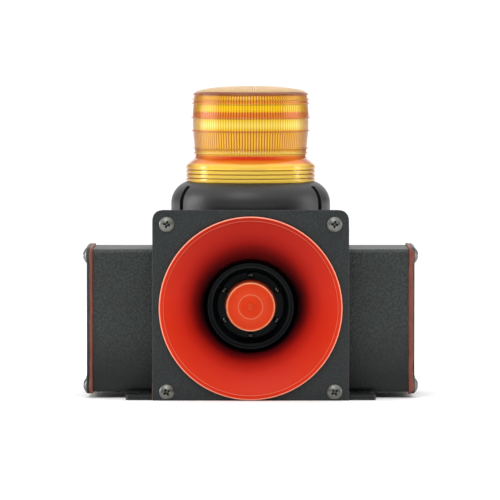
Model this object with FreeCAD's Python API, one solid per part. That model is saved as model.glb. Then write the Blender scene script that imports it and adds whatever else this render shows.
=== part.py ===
import FreeCAD, Part
import math
import os

# Horn strobe: an electronic siren horn and an amber beacon on one cast aluminium housing.
# Millimetres. +X is to the object's right seen from the front, +Y is towards its back and +Z is up.
# The horn faces -Y. The origin is the centre of the four foot slots, on the mounting face (z = 0).

V = FreeCAD.Vector
X_AXIS = V(1, 0, 0)
Y_AXIS = V(0, 1, 0)
Z_AXIS = V(0, 0, 1)

# ---- horn: drives the front plate and the centre housing -------------------------------------
RIM_R = 70.0               # outside radius of the horn's rolled rim
RIM_BEAD = 4.2             # width of the rolled bead
RIM_FRONT = 3.8            # how far the bead stands in front of the plate
RIM_SEAL_T = 0.6           # foam ring under the rim
RIM_OVERLAP = 2.8          # rim over the edge of the plate's hole
BELL_T = 2.2               # bell wall
THROAT_DEPTH = 32.0        # plate front to the start of the straight throat
BELL_DEPTH = 52.0          # plate front to the back of the bell's flange
BELL_FLANGE_T = 4.0
BELL_FLANGE_LIP = 2.0      # flange past the driver
BOWL_GAP = 2.7             # ring-shaped gap between bowl and throat
BOWL_H = 17.0              # height of the bowl
BOWL_FLOOR_T = 3.0
BOWL_WALL = 5.6
TUBE_R = 10.0              # tone tube, outside
TUBE_WALL = 2.0
TUBE_LENGTH = 26.0
CAP_GAP = 6.5              # tone tube to the inside of the cap
CAP_FLARE = 1.3            # how much wider the cap's back edge is than its front face
SOUND_GAP = 7.7            # cap's back edge to the bowl
CAP_LENGTH = 21.0
CAP_WALL = 2.2
CAP_FRONT_DEPTH = 18.0     # plate front to the cap's front face
CAP_RECESS_R = 9.1
CAP_BOSS_R = 2.6
BOWL_SCREWS = 6
BOWL_SCREW_R = 1.5

# ---- front plate and housing ------------------------------------------------------------------
PLATE_SIDE = 5.0           # rim to the plate's side edge
PLATE_FOOT = 0.5           # rim to the plate's bottom edge
PLATE_HEAD = 5.0           # rim to the plate's top edge
PLATE_T = 2.0
PLATE_CORNER_R = 9.0
PLATE_LIP = 1.0            # how far the plate stands past the housing at the sides
PLATE_TOP_LIP = 6.0        # and above its top
PLATE_GASKET_T = 2.0
PLATE_SCREW_INSET = 11.0   # from the side and top edges
PLATE_SCREW_BOTTOM = 6.5   # from the bottom edge
WALL = 3.0                 # casting wall
EDGE_R = 4.0               # outer edges of the casting
BOX_CORNER_R = 8.5         # upper corners of the centre housing, seen from the front
BOSS_DEPTH = 18.0
BOSS_HALF = 7.0            # screw boss, from the screw to its inner faces
DRIVER_ROOM = 23.0         # space between driver and back wall

# ---- wings, covers and feet --------------------------------------------------------------------
WING_OUT = 47.0            # how far a wing stands out of the centre housing
WING_D = 80.0
WING_H = 110.0
WING_Z = 4.5               # underside of a wing
COVER_T = 2.2
COVER_GASKET_T = 2.6
COVER_LIP = 1.3
COVER_CORNER_R = 5.0
COVER_SCREW_INSET = 6.4    # from the cover's edges
COVER_LAND = 4.3           # width of the gasket's frame
COVER_BOSS_W = 9.5         # screw bosses in a wing's corners
COVER_BOSS_H = 8.0
GASKET_EAR_R = 6.5         # gasket round a cover screw
FOOT_T = 4.0
FOOT_OUT = 21.5            # how far a foot stands out of the centre housing
SLOT_W = 6.5
SLOT_L = 12.0              # overall length of a foot slot
SLOT_OUT = 10.0            # centre of a slot from the housing's side
FOOT_CORNER_R = 3.0
NOTCH_R = 2.6              # earth-strap notch in the end of the right front foot

# ---- screws ------------------------------------------------------------------------------------
M5_R = 2.5
M4_R = 2.0
M3_R = 1.5
HOLE_PLAY = 0.25           # clearance hole, on the radius
TRUSS_HEAD_R = 5.9
TRUSS_HEAD_H = 3.1

# ---- compression driver ------------------------------------------------------------------------
DRIVER_R = 42.0
YOKE_T = 6.0
POLE_R = 12.0
MAGNET_BOLT_GAP = 5.5      # magnet to the bolts' pitch circle
MAGNET_BORE_R = 18.0
MAGNET_T = 18.0
TOP_PLATE_T = 6.0
COIL_GAP = 0.5             # each side of the voice coil
COIL_T = 0.6
DRIVER_BOLT_INSET = 4.5    # bolts' pitch circle from the driver's edge
DRIVER_COVER_GAP = 3.5     # cover to the bolts' pitch circle
CLAMP_INSET = 6.0          # clamp ring from the outside of the cover
DRIVER_COVER_DEPTH = 24.0
BRACKET_T = 2.5
BRACKET_H = 28.0
BRACKET_HALF_W = 30.0      # half the width of the bracket's hat
BRACKET_FLANGE = 14.0      # flange on the back wall
BRACKET_SCREW_X = 37.0     # screws in the flanges
BRACKET_SCREW_UP = 8.0
BRACKET_TOP_X = 12.0       # screws in the driver's cover

# ---- beacon ------------------------------------------------------------------------------------
DOME_R = 61.5              # foot of the beacon base
DOME_MARGIN = 2.5          # dome to the housing's front and back edges
DOME_H = 24.5
DOME_SHOULDER_DROP = 17.4  # below the deck: the shoulder starts,
DOME_MIDDLE_DROP = 5.7     # passes its middle,
DOME_WALL_DROP = 12.3      # the wall starts to lean inside
DOME_SLOT_DROP = 11.9      # and a slot's floor bends
DOME_GASKET_T = 1.0
DOME_WALL = 4.5
DOME_SLOT_W = 5.4
DOME_SLOT_DEPTH = 3.0
DOME_SLOT_ANGLE = 60.0     # from the front or the back
DECK_T = 3.0
DOME_SCREW_PITCH_R = 40.0
LENS_RING_H = 14.3
LENS_WALL = 2.4
LENS_LOW_R = 42.2
LENS_MID_R = 45.3
LENS_TOP_R = 44.2
LENS_H = 73.8              # underside of the ring to the crown
LENS_GAP = 0.2             # lens over deck
COLLAR_R = 45.3            # collar that the lens turns on
COLLAR_WALL = 3.0
COLLAR_H = 10.0
COLLAR_PLAY = 0.3          # bayonet tabs to collar
LENS_COLLAR_GAP = 2.3      # collar to the lens ring's inside
TAB_SPAN = 16.0            # degrees
TABS = 3
SEAL_R = 1.1               # section of the lens seal
SEAL_UP = 1.9              # deck to the middle of the seal
SEAL_BITE = 0.2            # how far the seal sits in the collar's groove
SEAL_PLAY = 0.05
STROBE_BOARD_GAP = 4.3     # board to the inside of the collar
POST_H = 5.0
BOARD_T = 1.6
TOWER_R = 12.0             # LED tower, across corners
TOWER_H = 48.0
TOWER_SIDES = 6
LED_SIZE = 3.5
LEDS_PER_SIDE = 5

# ---- electronics in the wings --------------------------------------------------------------------
STANDOFF_L = 12.0
BOARD_EDGE = 3.0           # board to the wing's inside walls
BOARD_HOLE_INSET = 8.0
WIRE_R = 0.9
WIRE_HOLE_R = 6.0
WIRE_HOLE_Y = 20.0
DRIVER_WIRE_UP = 23.0      # lower wire hole, above the middle of the wing
UPPER_WIRE_UP = 43.0       # upper wire hole, above the middle of the wing
SLIDERS = 4
SLIDER_TRAVEL = 1.6
SLIDER_PLAY = 0.15
GLAND_THREAD_R = 10.0
GLAND_HEX = 24.0
GLAND_BORE_R = 4.6
GLAND_SEAL_R = 6.5         # outside of the rubber seal
GLAND_FRONT_R = 8.9        # thread under the dome nut
GLAND_PLAY = 0.2
GLAND_WASHER_T = 1.5
GLAND_COLLAR_T = 5.5
GLAND_THREAD_L = 9.0
GLAND_NUT_T = 5.0
GLAND_Z = 41.0
TERMINAL_DEPTH = 18.0
TERMINAL_HALF_H = 37.0
TERMINAL_SCREW_Y = -5.0
TERMINAL_SCREW_UP = 33.0
TERMINAL_WAYS = 6
TERMINAL_PITCH = 10.0
FUSE_Y = 18.0
FUSE_DROP = 6.0            # below the middle of the wing
FUSE_OUT = 8.0             # fuse's axis from the partition
FUSE_R = 2.6
LEAD_SPACING = 4.0         # between the two wires of a pair
LEAD_BEND = 5.0

# ---- places worked out from the sizes above ------------------------------------------------------
CAP_R = TUBE_R + CAP_GAP + CAP_WALL
BOWL_R = CAP_R + CAP_FLARE + SOUND_GAP + BOWL_WALL
THROAT_R = BOWL_R + BOWL_GAP
DRIVER_BOLT_PITCH_R = DRIVER_R - DRIVER_BOLT_INSET
MAGNET_R = DRIVER_BOLT_PITCH_R - MAGNET_BOLT_GAP
DRIVER_COVER_R = DRIVER_BOLT_PITCH_R - DRIVER_COVER_GAP
CLAMP_R = DRIVER_COVER_R - CLAMP_INSET
BELL_FLANGE_R = DRIVER_R + BELL_FLANGE_LIP
STROBE_BOARD_R = COLLAR_R - COLLAR_WALL - STROBE_BOARD_GAP
LENS_INNER_R = COLLAR_R + LENS_COLLAR_GAP
LENS_RING_R = LENS_INNER_R + LENS_WALL
HORN_Z = RIM_R + PLATE_FOOT
PLATE_W = 2 * (RIM_R + PLATE_SIDE)
PLATE_H = HORN_Z + RIM_R + PLATE_HEAD
BOX_W = PLATE_W - 2 * PLATE_LIP
BOX_H = PLATE_H - PLATE_TOP_LIP
DRIVER_STACK = YOKE_T + MAGNET_T + TOP_PLATE_T + DRIVER_COVER_DEPTH
HORN_STACK = BELL_DEPTH + DRIVER_STACK - PLATE_T - PLATE_GASKET_T
BOX_D = max(HORN_STACK + DRIVER_ROOM + WALL, 2 * (DOME_R + DOME_MARGIN))
BOX_X = BOX_W / 2
BOX_Y = BOX_D / 2
PLATE_BACK = -BOX_Y - PLATE_GASKET_T
PLATE_FRONT = PLATE_BACK - PLATE_T
PLATE_HOLE_R = RIM_R - RIM_OVERLAP
WING_X = BOX_X + WING_OUT
WING_Y = WING_D / 2
WING_TOP = WING_Z + WING_H
WING_MID_Z = WING_Z + WING_H / 2
BELL_BACK = PLATE_FRONT + BELL_DEPTH
BOWL_BACK = BELL_BACK - BELL_FLANGE_T
BOWL_FLOOR = BOWL_BACK - BOWL_FLOOR_T
BOWL_SCREW_PITCH_R = (CAP_R + CAP_FLARE + BOWL_R - BOWL_WALL) / 2 - 0.5
CAP_FRONT = PLATE_FRONT + CAP_FRONT_DEPTH
YOKE_BACK = BELL_BACK + YOKE_T
TOP_PLATE_FRONT = YOKE_BACK + MAGNET_T
TOP_PLATE_BACK = TOP_PLATE_FRONT + TOP_PLATE_T
DRIVER_BACK = TOP_PLATE_BACK + DRIVER_COVER_DEPTH
COIL_IN = POLE_R + COIL_GAP
COIL_OUT = COIL_IN + COIL_T
TOP_PLATE_BORE_R = COIL_OUT + COIL_GAP
DOME_Z = BOX_H + DOME_GASKET_T
DECK_Z = DOME_Z + DOME_H
LENS_Z = DECK_Z + LENS_GAP
SEAL_Z = DECK_Z + SEAL_UP
FOOT_D = BOX_Y - WING_Y
FOOT_Y = BOX_Y - FOOT_D / 2
SLOT_X = BOX_X + SLOT_OUT
BOARD_X = BOX_X + STANDOFF_L
BOARD_FACE = BOARD_X + BOARD_T
BOARD_HALF_W = WING_Y - WALL - BOARD_EDGE
BOARD_HALF_H = WING_H / 2 - WALL - 2 * BOARD_EDGE
COVER_HALF_W = WING_Y + COVER_LIP
COVER_HALF_H = WING_H / 2 + COVER_LIP
GLAND_X = -(BOX_X + WING_OUT / 2)

parts = {}


# ---- shape helpers ---------------------------------------------------------------------------------
def block(x0, x1, y0, y1, z0, z1):
    """A box between two corners, given in any order."""
    low = V(min(x0, x1), min(y0, y1), min(z0, z1))
    return Part.makeBox(abs(x1 - x0), abs(y1 - y0), abs(z1 - z0), low)


def rod(radius, start, end):
    """A cylinder between two points."""
    run = end - start
    return Part.makeCylinder(radius, run.Length, start, run)


def tube(outer, inner, start, end):
    return rod(outer, start, end).cut(rod(inner, start, end))


def join(shapes):
    """One solid out of shapes that overlap."""
    result = shapes[0]
    if len(shapes) > 1:
        result = shapes[0].multiFuse(shapes[1:])
    return result.removeSplitter()


def turned(edges_or_points, axis):
    """Revolve a closed outline of (radius, height) points or edges about the Y or the Z axis."""
    if isinstance(edges_or_points[0], tuple):
        corners = [V(radius, height, 0) for radius, height in edges_or_points]
        outline = Part.makePolygon(corners + corners[:1])
    else:
        outline = Part.Wire(Part.sortEdges(edges_or_points)[0])
    solid = Part.Face(outline).revolve(V(0, 0, 0), Y_AXIS, 360)
    if axis == "z":
        solid.rotate(V(0, 0, 0), X_AXIS, 90)
    return solid


def on_horn(solid):
    """Move a solid that was turned about the Y axis onto the horn's axis."""
    solid.translate(V(0, 0, HORN_Z))
    return solid


def arc(first, middle, last):
    return Part.Arc(V(*first, 0), V(*middle, 0), V(*last, 0)).toShape()


def line(first, last):
    return Part.makeLine(V(*first, 0), V(*last, 0))


def bezier(*poles):
    curve = Part.BezierCurve()
    curve.setPoles([V(radius, height, 0) for radius, height in poles])
    return curve.toShape()


def dome(edge_r, edge_y, rise):
    """Arc of a spherical cap, from its edge to its pole on the axis."""
    ball_r = (edge_r ** 2 + rise ** 2) / (2 * abs(rise))
    half = math.asin(edge_r / ball_r) / 2
    drop = math.copysign(ball_r * (1 - math.cos(half)), rise)
    return arc((edge_r, edge_y), (ball_r * math.sin(half), edge_y + rise - drop), (0, edge_y + rise))


def fillet(solid, radius, wanted):
    """Round the straight edges that the test picks by their middle and direction."""
    edges = []
    for edge in solid.Edges:
        if edge.Curve.TypeId != "Part::GeomLine":
            continue
        run = edge.Vertexes[-1].Point - edge.Vertexes[0].Point
        if wanted(edge.CenterOfMass, run.normalize()):
            edges.append(edge)
    return solid.makeFillet(radius, edges)


def along(axis):
    return lambda middle, run: abs(run.dot(axis)) > 0.99


def hex_rod(flats, start, end):
    """A hexagonal bar between two points along Y."""
    corner_r = flats / math.sqrt(3)
    corners = []
    for step in range(7):
        turn = math.radians(60 * step)
        corners.append(V(corner_r * math.cos(turn), 0, corner_r * math.sin(turn)) + start)
    return Part.Face(Part.makePolygon(corners)).extrude(end - start)


def place(solid, point, direction):
    """Put a solid that was made along +Z at a point, facing a direction."""
    moved = solid.copy()
    moved.Placement = FreeCAD.Placement(point, FreeCAD.Rotation(Z_AXIS, direction))
    return moved


def truss_screw(shank_r, shank_l, head_r, head_h):
    """A cross-recessed screw: the head's underside at the origin, the head towards +Z."""
    edge_h = head_h * 0.16
    corners = [(0, head_h), (0, -shank_l), (shank_r, -shank_l), (shank_r, 0), (head_r, 0), (head_r, edge_h)]
    outline = [line(first, last) for first, last in zip(corners, corners[1:])]
    outline.append(dome(head_r, edge_h, head_h - edge_h))
    screw = turned(outline, "z")
    arm = head_r * 0.5
    thin = head_r * 0.1
    depth = head_h * 0.45
    for cut in (block(-arm, arm, -thin, thin, depth, head_h), block(-thin, thin, -arm, arm, depth, head_h)):
        screw = screw.cut(cut)
    return screw


def screws(points, direction, shank_r, shank_l, head_r=None, head_h=None):
    """Identical screws whose heads face the direction, as one group of separate solids."""
    head_r = head_r or shank_r * 1.9
    head_h = head_h or shank_r * 1.1
    model = truss_screw(shank_r, shank_l, head_r, head_h)
    return Part.makeCompound([place(model, point, direction) for point in points])


def holes(solid, points, direction, radius, depth):
    """Drill holes that start just outside the solid and go along the direction."""
    start = direction * 0.5
    for point in points:
        solid = solid.cut(rod(radius, point - start, point + direction * depth))
    return solid


def circle_points(count, radius, first_degrees, height, axis):
    """Points round the horn's axis (axis "y") or the beacon's axis (axis "z")."""
    found = []
    for step in range(count):
        turn = math.radians(first_degrees + 360 * step / count)
        across = radius * math.cos(turn)
        other = radius * math.sin(turn)
        found.append(V(across, height, HORN_Z + other) if axis == "y" else V(across, other, height))
    return found


def sector(inner, outer, z0, z1, middle_degrees, span_degrees):
    """Part of a ring about the Z axis."""
    turn = math.radians(middle_degrees - span_degrees / 2)
    start = V(math.cos(turn), math.sin(turn), 0)
    corners = [start * inner, start * outer, start * outer + V(0, 0, z1 - z0), start * inner + V(0, 0, z1 - z0)]
    face = Part.Face(Part.makePolygon(corners + corners[:1]))
    face.translate(V(0, 0, z0))
    return face.revolve(V(0, 0, 0), Z_AXIS, span_degrees)


def wire(points, radius, bend):
    """An insulated wire: straight runs joined by tangent arcs."""
    edges = []
    start = points[0]
    for before, corner, after in zip(points, points[1:], points[2:]):
        come = (corner - before).normalize()
        leave = (after - corner).normalize()
        half = come.getAngle(leave) / 2
        reach = bend * math.tan(half)
        first = corner - come * reach
        last = corner + leave * reach
        inward = (leave - come).normalize()
        middle = corner + inward * (bend / math.cos(half) - bend)
        edges.append(Part.makeLine(start, first))
        edges.append(Part.Arc(first, middle, last).toShape())
        start = last
    edges.append(Part.makeLine(start, points[-1]))
    path = Part.Wire(edges)
    ring = Part.Wire(Part.makeCircle(radius, points[0], points[1] - points[0]))
    return path.makePipeShell([ring], True, True)


def group(name, shape):
    """Add solids to a node that holds several separate ones."""
    before = parts[name].Solids if name in parts else []
    parts[name] = Part.makeCompound(before + shape.Solids)


# ---- points shared by the pieces that they join ------------------------------------------------------
def plate_screw_points(depth):
    across = PLATE_W / 2 - PLATE_SCREW_INSET
    heights = (PLATE_SCREW_BOTTOM, PLATE_H - PLATE_SCREW_INSET)
    return [V(side * across, depth, height) for side in (-1, 1) for height in heights]


def cover_screw_points(side, x):
    across = COVER_HALF_W - COVER_SCREW_INSET - COVER_LIP
    up = COVER_HALF_H - COVER_SCREW_INSET
    return [V(side * x, y, WING_MID_Z + z) for y in (-across, across) for z in (-up, up)]


def board_hole_points(x):
    across = BOARD_HALF_W - BOARD_HOLE_INSET + 3
    up = BOARD_HALF_H - BOARD_HOLE_INSET
    return [V(x, y, WING_MID_Z + z) for y in (-across, across) for z in (-up, up)]


def bracket_foot_points(y):
    heights = (HORN_Z - BRACKET_SCREW_UP, HORN_Z + BRACKET_SCREW_UP)
    return [V(side * BRACKET_SCREW_X, y, height) for side in (-1, 1) for height in heights]


def bracket_top_points(y):
    return [V(side * BRACKET_TOP_X, y, HORN_Z) for side in (-1, 1)]


def terminal_screw_points(x):
    return [V(x, TERMINAL_SCREW_Y, WING_MID_Z + side * TERMINAL_SCREW_UP) for side in (-1, 1)]


def wire_hole_points(side):
    return [V(side * (BOX_X + 1), WIRE_HOLE_Y, WING_MID_Z + up) for up in (DRIVER_WIRE_UP, UPPER_WIRE_UP)]


def dome_screw_points(z):
    return circle_points(4, DOME_SCREW_PITCH_R, 45, z, "z")


def post_points(z):
    return circle_points(3, STROBE_BOARD_R - 6, 30, z, "z")


# ---- casting, front plate and feet ---------------------------------------------------------------------
def foot(side, end):
    """One cast foot with a slot along X; end is -1 at the front and 1 at the back."""
    tip = side * (BOX_X + FOOT_OUT)
    lug = block(side * (BOX_X - 1), tip, end * WING_Y, end * BOX_Y, 0, FOOT_T)
    lug = fillet(lug, FOOT_CORNER_R, lambda middle, run: abs(run.z) > 0.99 and abs(middle.x) > BOX_X + 1)
    centre = V(side * SLOT_X, end * FOOT_Y, -1)
    half = SLOT_L / 2 - SLOT_W / 2
    slot = block(centre.x - half, centre.x + half, centre.y - SLOT_W / 2, centre.y + SLOT_W / 2, -1, FOOT_T + 1)
    for offset in (-half, half):
        slot = slot.fuse(rod(SLOT_W / 2, centre + X_AXIS * offset, centre + V(offset, 0, FOOT_T + 2)))
    lug = lug.cut(slot)
    if side > 0 and end < 0:
        notch = V(tip, end * FOOT_Y, -1)
        lug = lug.cut(rod(NOTCH_R, notch, notch + Z_AXIS * (FOOT_T + 2)))
    return lug


def make_housing():
    def is_upper_corner(middle, run):
        return abs(run.y) > 0.99 and middle.z > BOX_H / 2

    outside = block(-BOX_X, BOX_X, -BOX_Y, BOX_Y, 0, BOX_H)
    outside = fillet(outside, BOX_CORNER_R, is_upper_corner)
    outside = fillet(outside, EDGE_R, lambda middle, run: middle.y > BOX_Y - 0.1 and middle.z > 1)
    inside = block(-BOX_X + WALL, BOX_X - WALL, -BOX_Y - 1, BOX_Y - WALL, WALL, BOX_H - WALL)
    inside = fillet(inside, BOX_CORNER_R - WALL, is_upper_corner)
    wing = block(-WING_X, WING_X, -WING_Y, WING_Y, WING_Z, WING_TOP)
    wing = fillet(wing, EDGE_R, along(X_AXIS))
    feet = [foot(side, end) for side in (-1, 1) for end in (-1, 1)]
    body = join([outside, wing] + feet).cut(inside)
    bosses = []
    reach = PLATE_SCREW_INSET - PLATE_LIP + BOSS_HALF
    upper = PLATE_H - PLATE_SCREW_INSET - BOSS_HALF
    levels = ((WALL - 1, PLATE_SCREW_BOTTOM + BOSS_HALF), (upper, BOX_H - WALL + 1))
    for side in (-1, 1):
        room = block(side * BOX_X, side * (WING_X + 1), -WING_Y + WALL, WING_Y - WALL,
                     WING_Z + WALL, WING_TOP - WALL)
        body = body.cut(room)
        for z0, z1 in levels:
            boss = block(side * (BOX_X - reach), side * (BOX_X - WALL + 1), -BOX_Y, -BOX_Y + BOSS_DEPTH, z0, z1)
            bosses.append(boss.common(outside))
        bosses += cover_bosses(side)
    body = join([body] + bosses)
    body = holes(body, plate_screw_points(-BOX_Y), Y_AXIS, M5_R, BOSS_DEPTH - 2)
    for side in (-1, 1):
        body = holes(body, cover_screw_points(side, WING_X), X_AXIS * -side, M5_R, BOSS_DEPTH - 2)
        for point in wire_hole_points(side):
            body = body.cut(rod(WIRE_HOLE_R, point - X_AXIS * 2 * WALL, point + X_AXIS * 2 * WALL))
    body = holes(body, board_hole_points(BOX_X), X_AXIS * -1, M3_R, WALL)
    body = holes(body, terminal_screw_points(-BOX_X), X_AXIS, M3_R, WALL)
    body = holes(body, bracket_foot_points(BOX_Y), Y_AXIS * -1, M4_R + HOLE_PLAY, 2 * WALL)
    body = holes(body, dome_screw_points(BOX_H), Z_AXIS * -1, M4_R + HOLE_PLAY, 2 * WALL)
    body = holes(body, [V(0, 0, BOX_H)], Z_AXIS * -1, WIRE_HOLE_R, 2 * WALL)
    entry = [V(GLAND_X, WING_Y, GLAND_Z)]
    parts["housing"] = holes(body, entry, Y_AXIS * -1, GLAND_THREAD_R + GLAND_PLAY, 2 * WALL)


def cover_bosses(side):
    """Screw bosses in the four corners of one wing's open end."""
    low = WING_Z + WALL
    high = WING_TOP - WALL
    across = WING_Y - WALL
    found = []
    for end in (-1, 1):
        for z0, z1 in ((low - 1, low + COVER_BOSS_H), (high - COVER_BOSS_H, high + 1)):
            y0 = end * (across - COVER_BOSS_W)
            found.append(block(side * (WING_X - BOSS_DEPTH), side * WING_X, y0, end * (across + 1), z0, z1))
    return found


def make_front():
    def sheet(front, back, width, height):
        flat = block(-width / 2, width / 2, front, back, 0, height)
        flat = fillet(flat, PLATE_CORNER_R, lambda mid, run: abs(run.y) > 0.99 and mid.z > height / 2)
        flat = flat.cut(rod(PLATE_HOLE_R, V(0, front - 1, HORN_Z), V(0, back + 1, HORN_Z)))
        return holes(flat, plate_screw_points(front), Y_AXIS, M5_R + HOLE_PLAY, back - front + 1)

    parts["front_plate"] = sheet(PLATE_FRONT, PLATE_BACK, PLATE_W, PLATE_H)
    parts["front_plate_gasket"] = sheet(PLATE_BACK, -BOX_Y, BOX_W + 0.8, BOX_H)
    length = BOSS_DEPTH + PLATE_T
    parts["front_plate_screws"] = screws(
        plate_screw_points(PLATE_FRONT), Y_AXIS * -1, M5_R, length, TRUSS_HEAD_R, TRUSS_HEAD_H)


def make_end_cover(name, side):
    """Flat cover, silicone gasket and four screws on the open end of one wing."""
    gasket_x = WING_X + COVER_GASKET_T
    cover_x = gasket_x + COVER_T

    def outline(x0, x1):
        low = WING_MID_Z - COVER_HALF_H
        high = WING_MID_Z + COVER_HALF_H
        flat = block(side * x0, side * x1, -COVER_HALF_W, COVER_HALF_W, low, high)
        flat = fillet(flat, COVER_CORNER_R, along(X_AXIS))
        return holes(flat, cover_screw_points(side, x1), X_AXIS * -side, M5_R + HOLE_PLAY, x1 - x0 + 1)

    gasket = outline(WING_X, gasket_x)
    inner_y = COVER_HALF_W - COVER_LAND
    inner_z = COVER_HALF_H - COVER_LAND
    window = block(side * (WING_X - 1), side * (gasket_x + 1), -inner_y, inner_y,
                   WING_MID_Z - inner_z, WING_MID_Z + inner_z)
    for point in cover_screw_points(side, WING_X - 2):
        window = window.cut(rod(GASKET_EAR_R, point, point + X_AXIS * side * (COVER_GASKET_T + 4)))
    parts[name + "_cover_gasket"] = gasket.cut(window)
    parts[name + "_cover"] = outline(gasket_x, cover_x)
    length = BOSS_DEPTH + COVER_T
    group("cover_screws", screws(
        cover_screw_points(side, cover_x), X_AXIS * side, M5_R, length, TRUSS_HEAD_R, TRUSS_HEAD_H))


# ---- horn ------------------------------------------------------------------------------------------------
def make_bell():
    rim_back = PLATE_FRONT - RIM_SEAL_T
    bead_top = PLATE_FRONT - RIM_FRONT
    mouth = (RIM_R - RIM_BEAD, bead_top + 1.4)
    outside = (RIM_R - 3.4, rim_back)
    throat_y = PLATE_FRONT + THROAT_DEPTH
    wall_r = THROAT_R + BELL_T
    edges = [arc(mouth, (RIM_R - 2.0, bead_top), (RIM_R, bead_top + 2.0))]
    edges.append(line((RIM_R, bead_top + 2.0), (RIM_R, rim_back)))
    edges.append(line((RIM_R, rim_back), outside))
    outer_pull = (RIM_R - 14.5, PLATE_FRONT + 6.0)
    edges.append(bezier(outside, outer_pull, (wall_r + 2.0, throat_y - 15.0), (wall_r, throat_y)))
    corners = [(wall_r, throat_y), (wall_r, BOWL_BACK), (BELL_FLANGE_R, BOWL_BACK), (BELL_FLANGE_R, BELL_BACK)]
    corners += [(TUBE_R, BELL_BACK), (TUBE_R, BOWL_BACK), (THROAT_R, BOWL_BACK), (THROAT_R, throat_y)]
    for first, last in zip(corners, corners[1:]):
        edges.append(line(first, last))
    inner_pull = (RIM_R - 16.0, PLATE_FRONT + 3.5)
    edges.append(bezier((THROAT_R, throat_y), (THROAT_R + 2.0, throat_y - 16.0), inner_pull, mouth))
    bell = on_horn(turned(edges, "y"))
    pitch = circle_points(BOWL_SCREWS, BOWL_SCREW_PITCH_R, 30, BOWL_BACK, "y")
    parts["horn_bell"] = holes(bell, pitch, Y_AXIS, BOWL_SCREW_R + HOLE_PLAY, BELL_FLANGE_T + 1)
    seal_in = PLATE_HOLE_R
    seal = [(seal_in, rim_back), (RIM_R - 0.6, rim_back), (RIM_R - 0.6, PLATE_FRONT), (seal_in, PLATE_FRONT)]
    parts["horn_rim_seal"] = on_horn(turned(seal, "y"))


def make_bowl():
    """Black bowl in the throat that turns the sound forwards, held by six small screws."""
    rim_y = BOWL_BACK - BOWL_H
    inner = BOWL_R - BOWL_WALL
    outline = [(TUBE_R, BOWL_BACK), (BOWL_R, BOWL_BACK), (BOWL_R, rim_y), (BOWL_R - 1.9, rim_y)]
    outline += [(BOWL_R - 2.3, rim_y + 1.2), (inner + 0.9, rim_y + 2.2), (inner, BOWL_FLOOR - 1.6)]
    outline += [(inner - 1.4, BOWL_FLOOR), (TUBE_R, BOWL_FLOOR)]
    bowl = on_horn(turned(outline, "y"))
    pitch = circle_points(BOWL_SCREWS, BOWL_SCREW_PITCH_R, 30, BOWL_FLOOR, "y")
    parts["horn_bowl"] = holes(bowl, pitch, Y_AXIS, BOWL_SCREW_R + HOLE_PLAY, BOWL_FLOOR_T + 1)
    length = BOWL_FLOOR_T + BELL_FLANGE_T + YOKE_T - 1
    parts["horn_bowl_screws"] = screws(pitch, Y_AXIS * -1, BOWL_SCREW_R, length, 2.6, 1.8)


def make_tone_path():
    """Tone tube from the driver, and the cap that turns its sound back into the bowl."""
    tube_end = BELL_BACK - TUBE_LENGTH
    axis_point = V(0, 0, HORN_Z)
    start = axis_point + Y_AXIS * tube_end
    parts["tone_tube"] = tube(TUBE_R, TUBE_R - TUBE_WALL, start, axis_point + Y_AXIS * BELL_BACK)

    cap_back = CAP_FRONT + CAP_LENGTH
    back_r = CAP_R + CAP_FLARE
    chamfer = 1.2
    recess = 0.8
    outline = [(0, CAP_FRONT - 0.2), (CAP_BOSS_R, CAP_FRONT - 0.2), (CAP_BOSS_R, CAP_FRONT + recess)]
    outline += [(CAP_RECESS_R, CAP_FRONT + recess), (CAP_RECESS_R, CAP_FRONT), (CAP_R - chamfer, CAP_FRONT)]
    outline += [(CAP_R, CAP_FRONT + chamfer), (back_r, cap_back), (back_r - CAP_WALL, cap_back)]
    outline += [(CAP_R - CAP_WALL, CAP_FRONT + 3.0), (0, CAP_FRONT + 3.0)]
    cap = turned(outline, "y")
    ribs = []
    for step in range(3):
        rib = block(0, CAP_R - CAP_WALL + 0.4, CAP_FRONT + 5.0, cap_back - 1.0, -1, 1)
        rib.rotate(V(0, 0, 0), Y_AXIS, 120 * step + 30)
        ribs.append(rib)
    spider = join(ribs).cut(rod(TUBE_R, V(0, tube_end - 9, 0), V(0, BELL_BACK, 0)))
    parts["reflector_cap"] = on_horn(join([cap] + spider.Solids))


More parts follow.
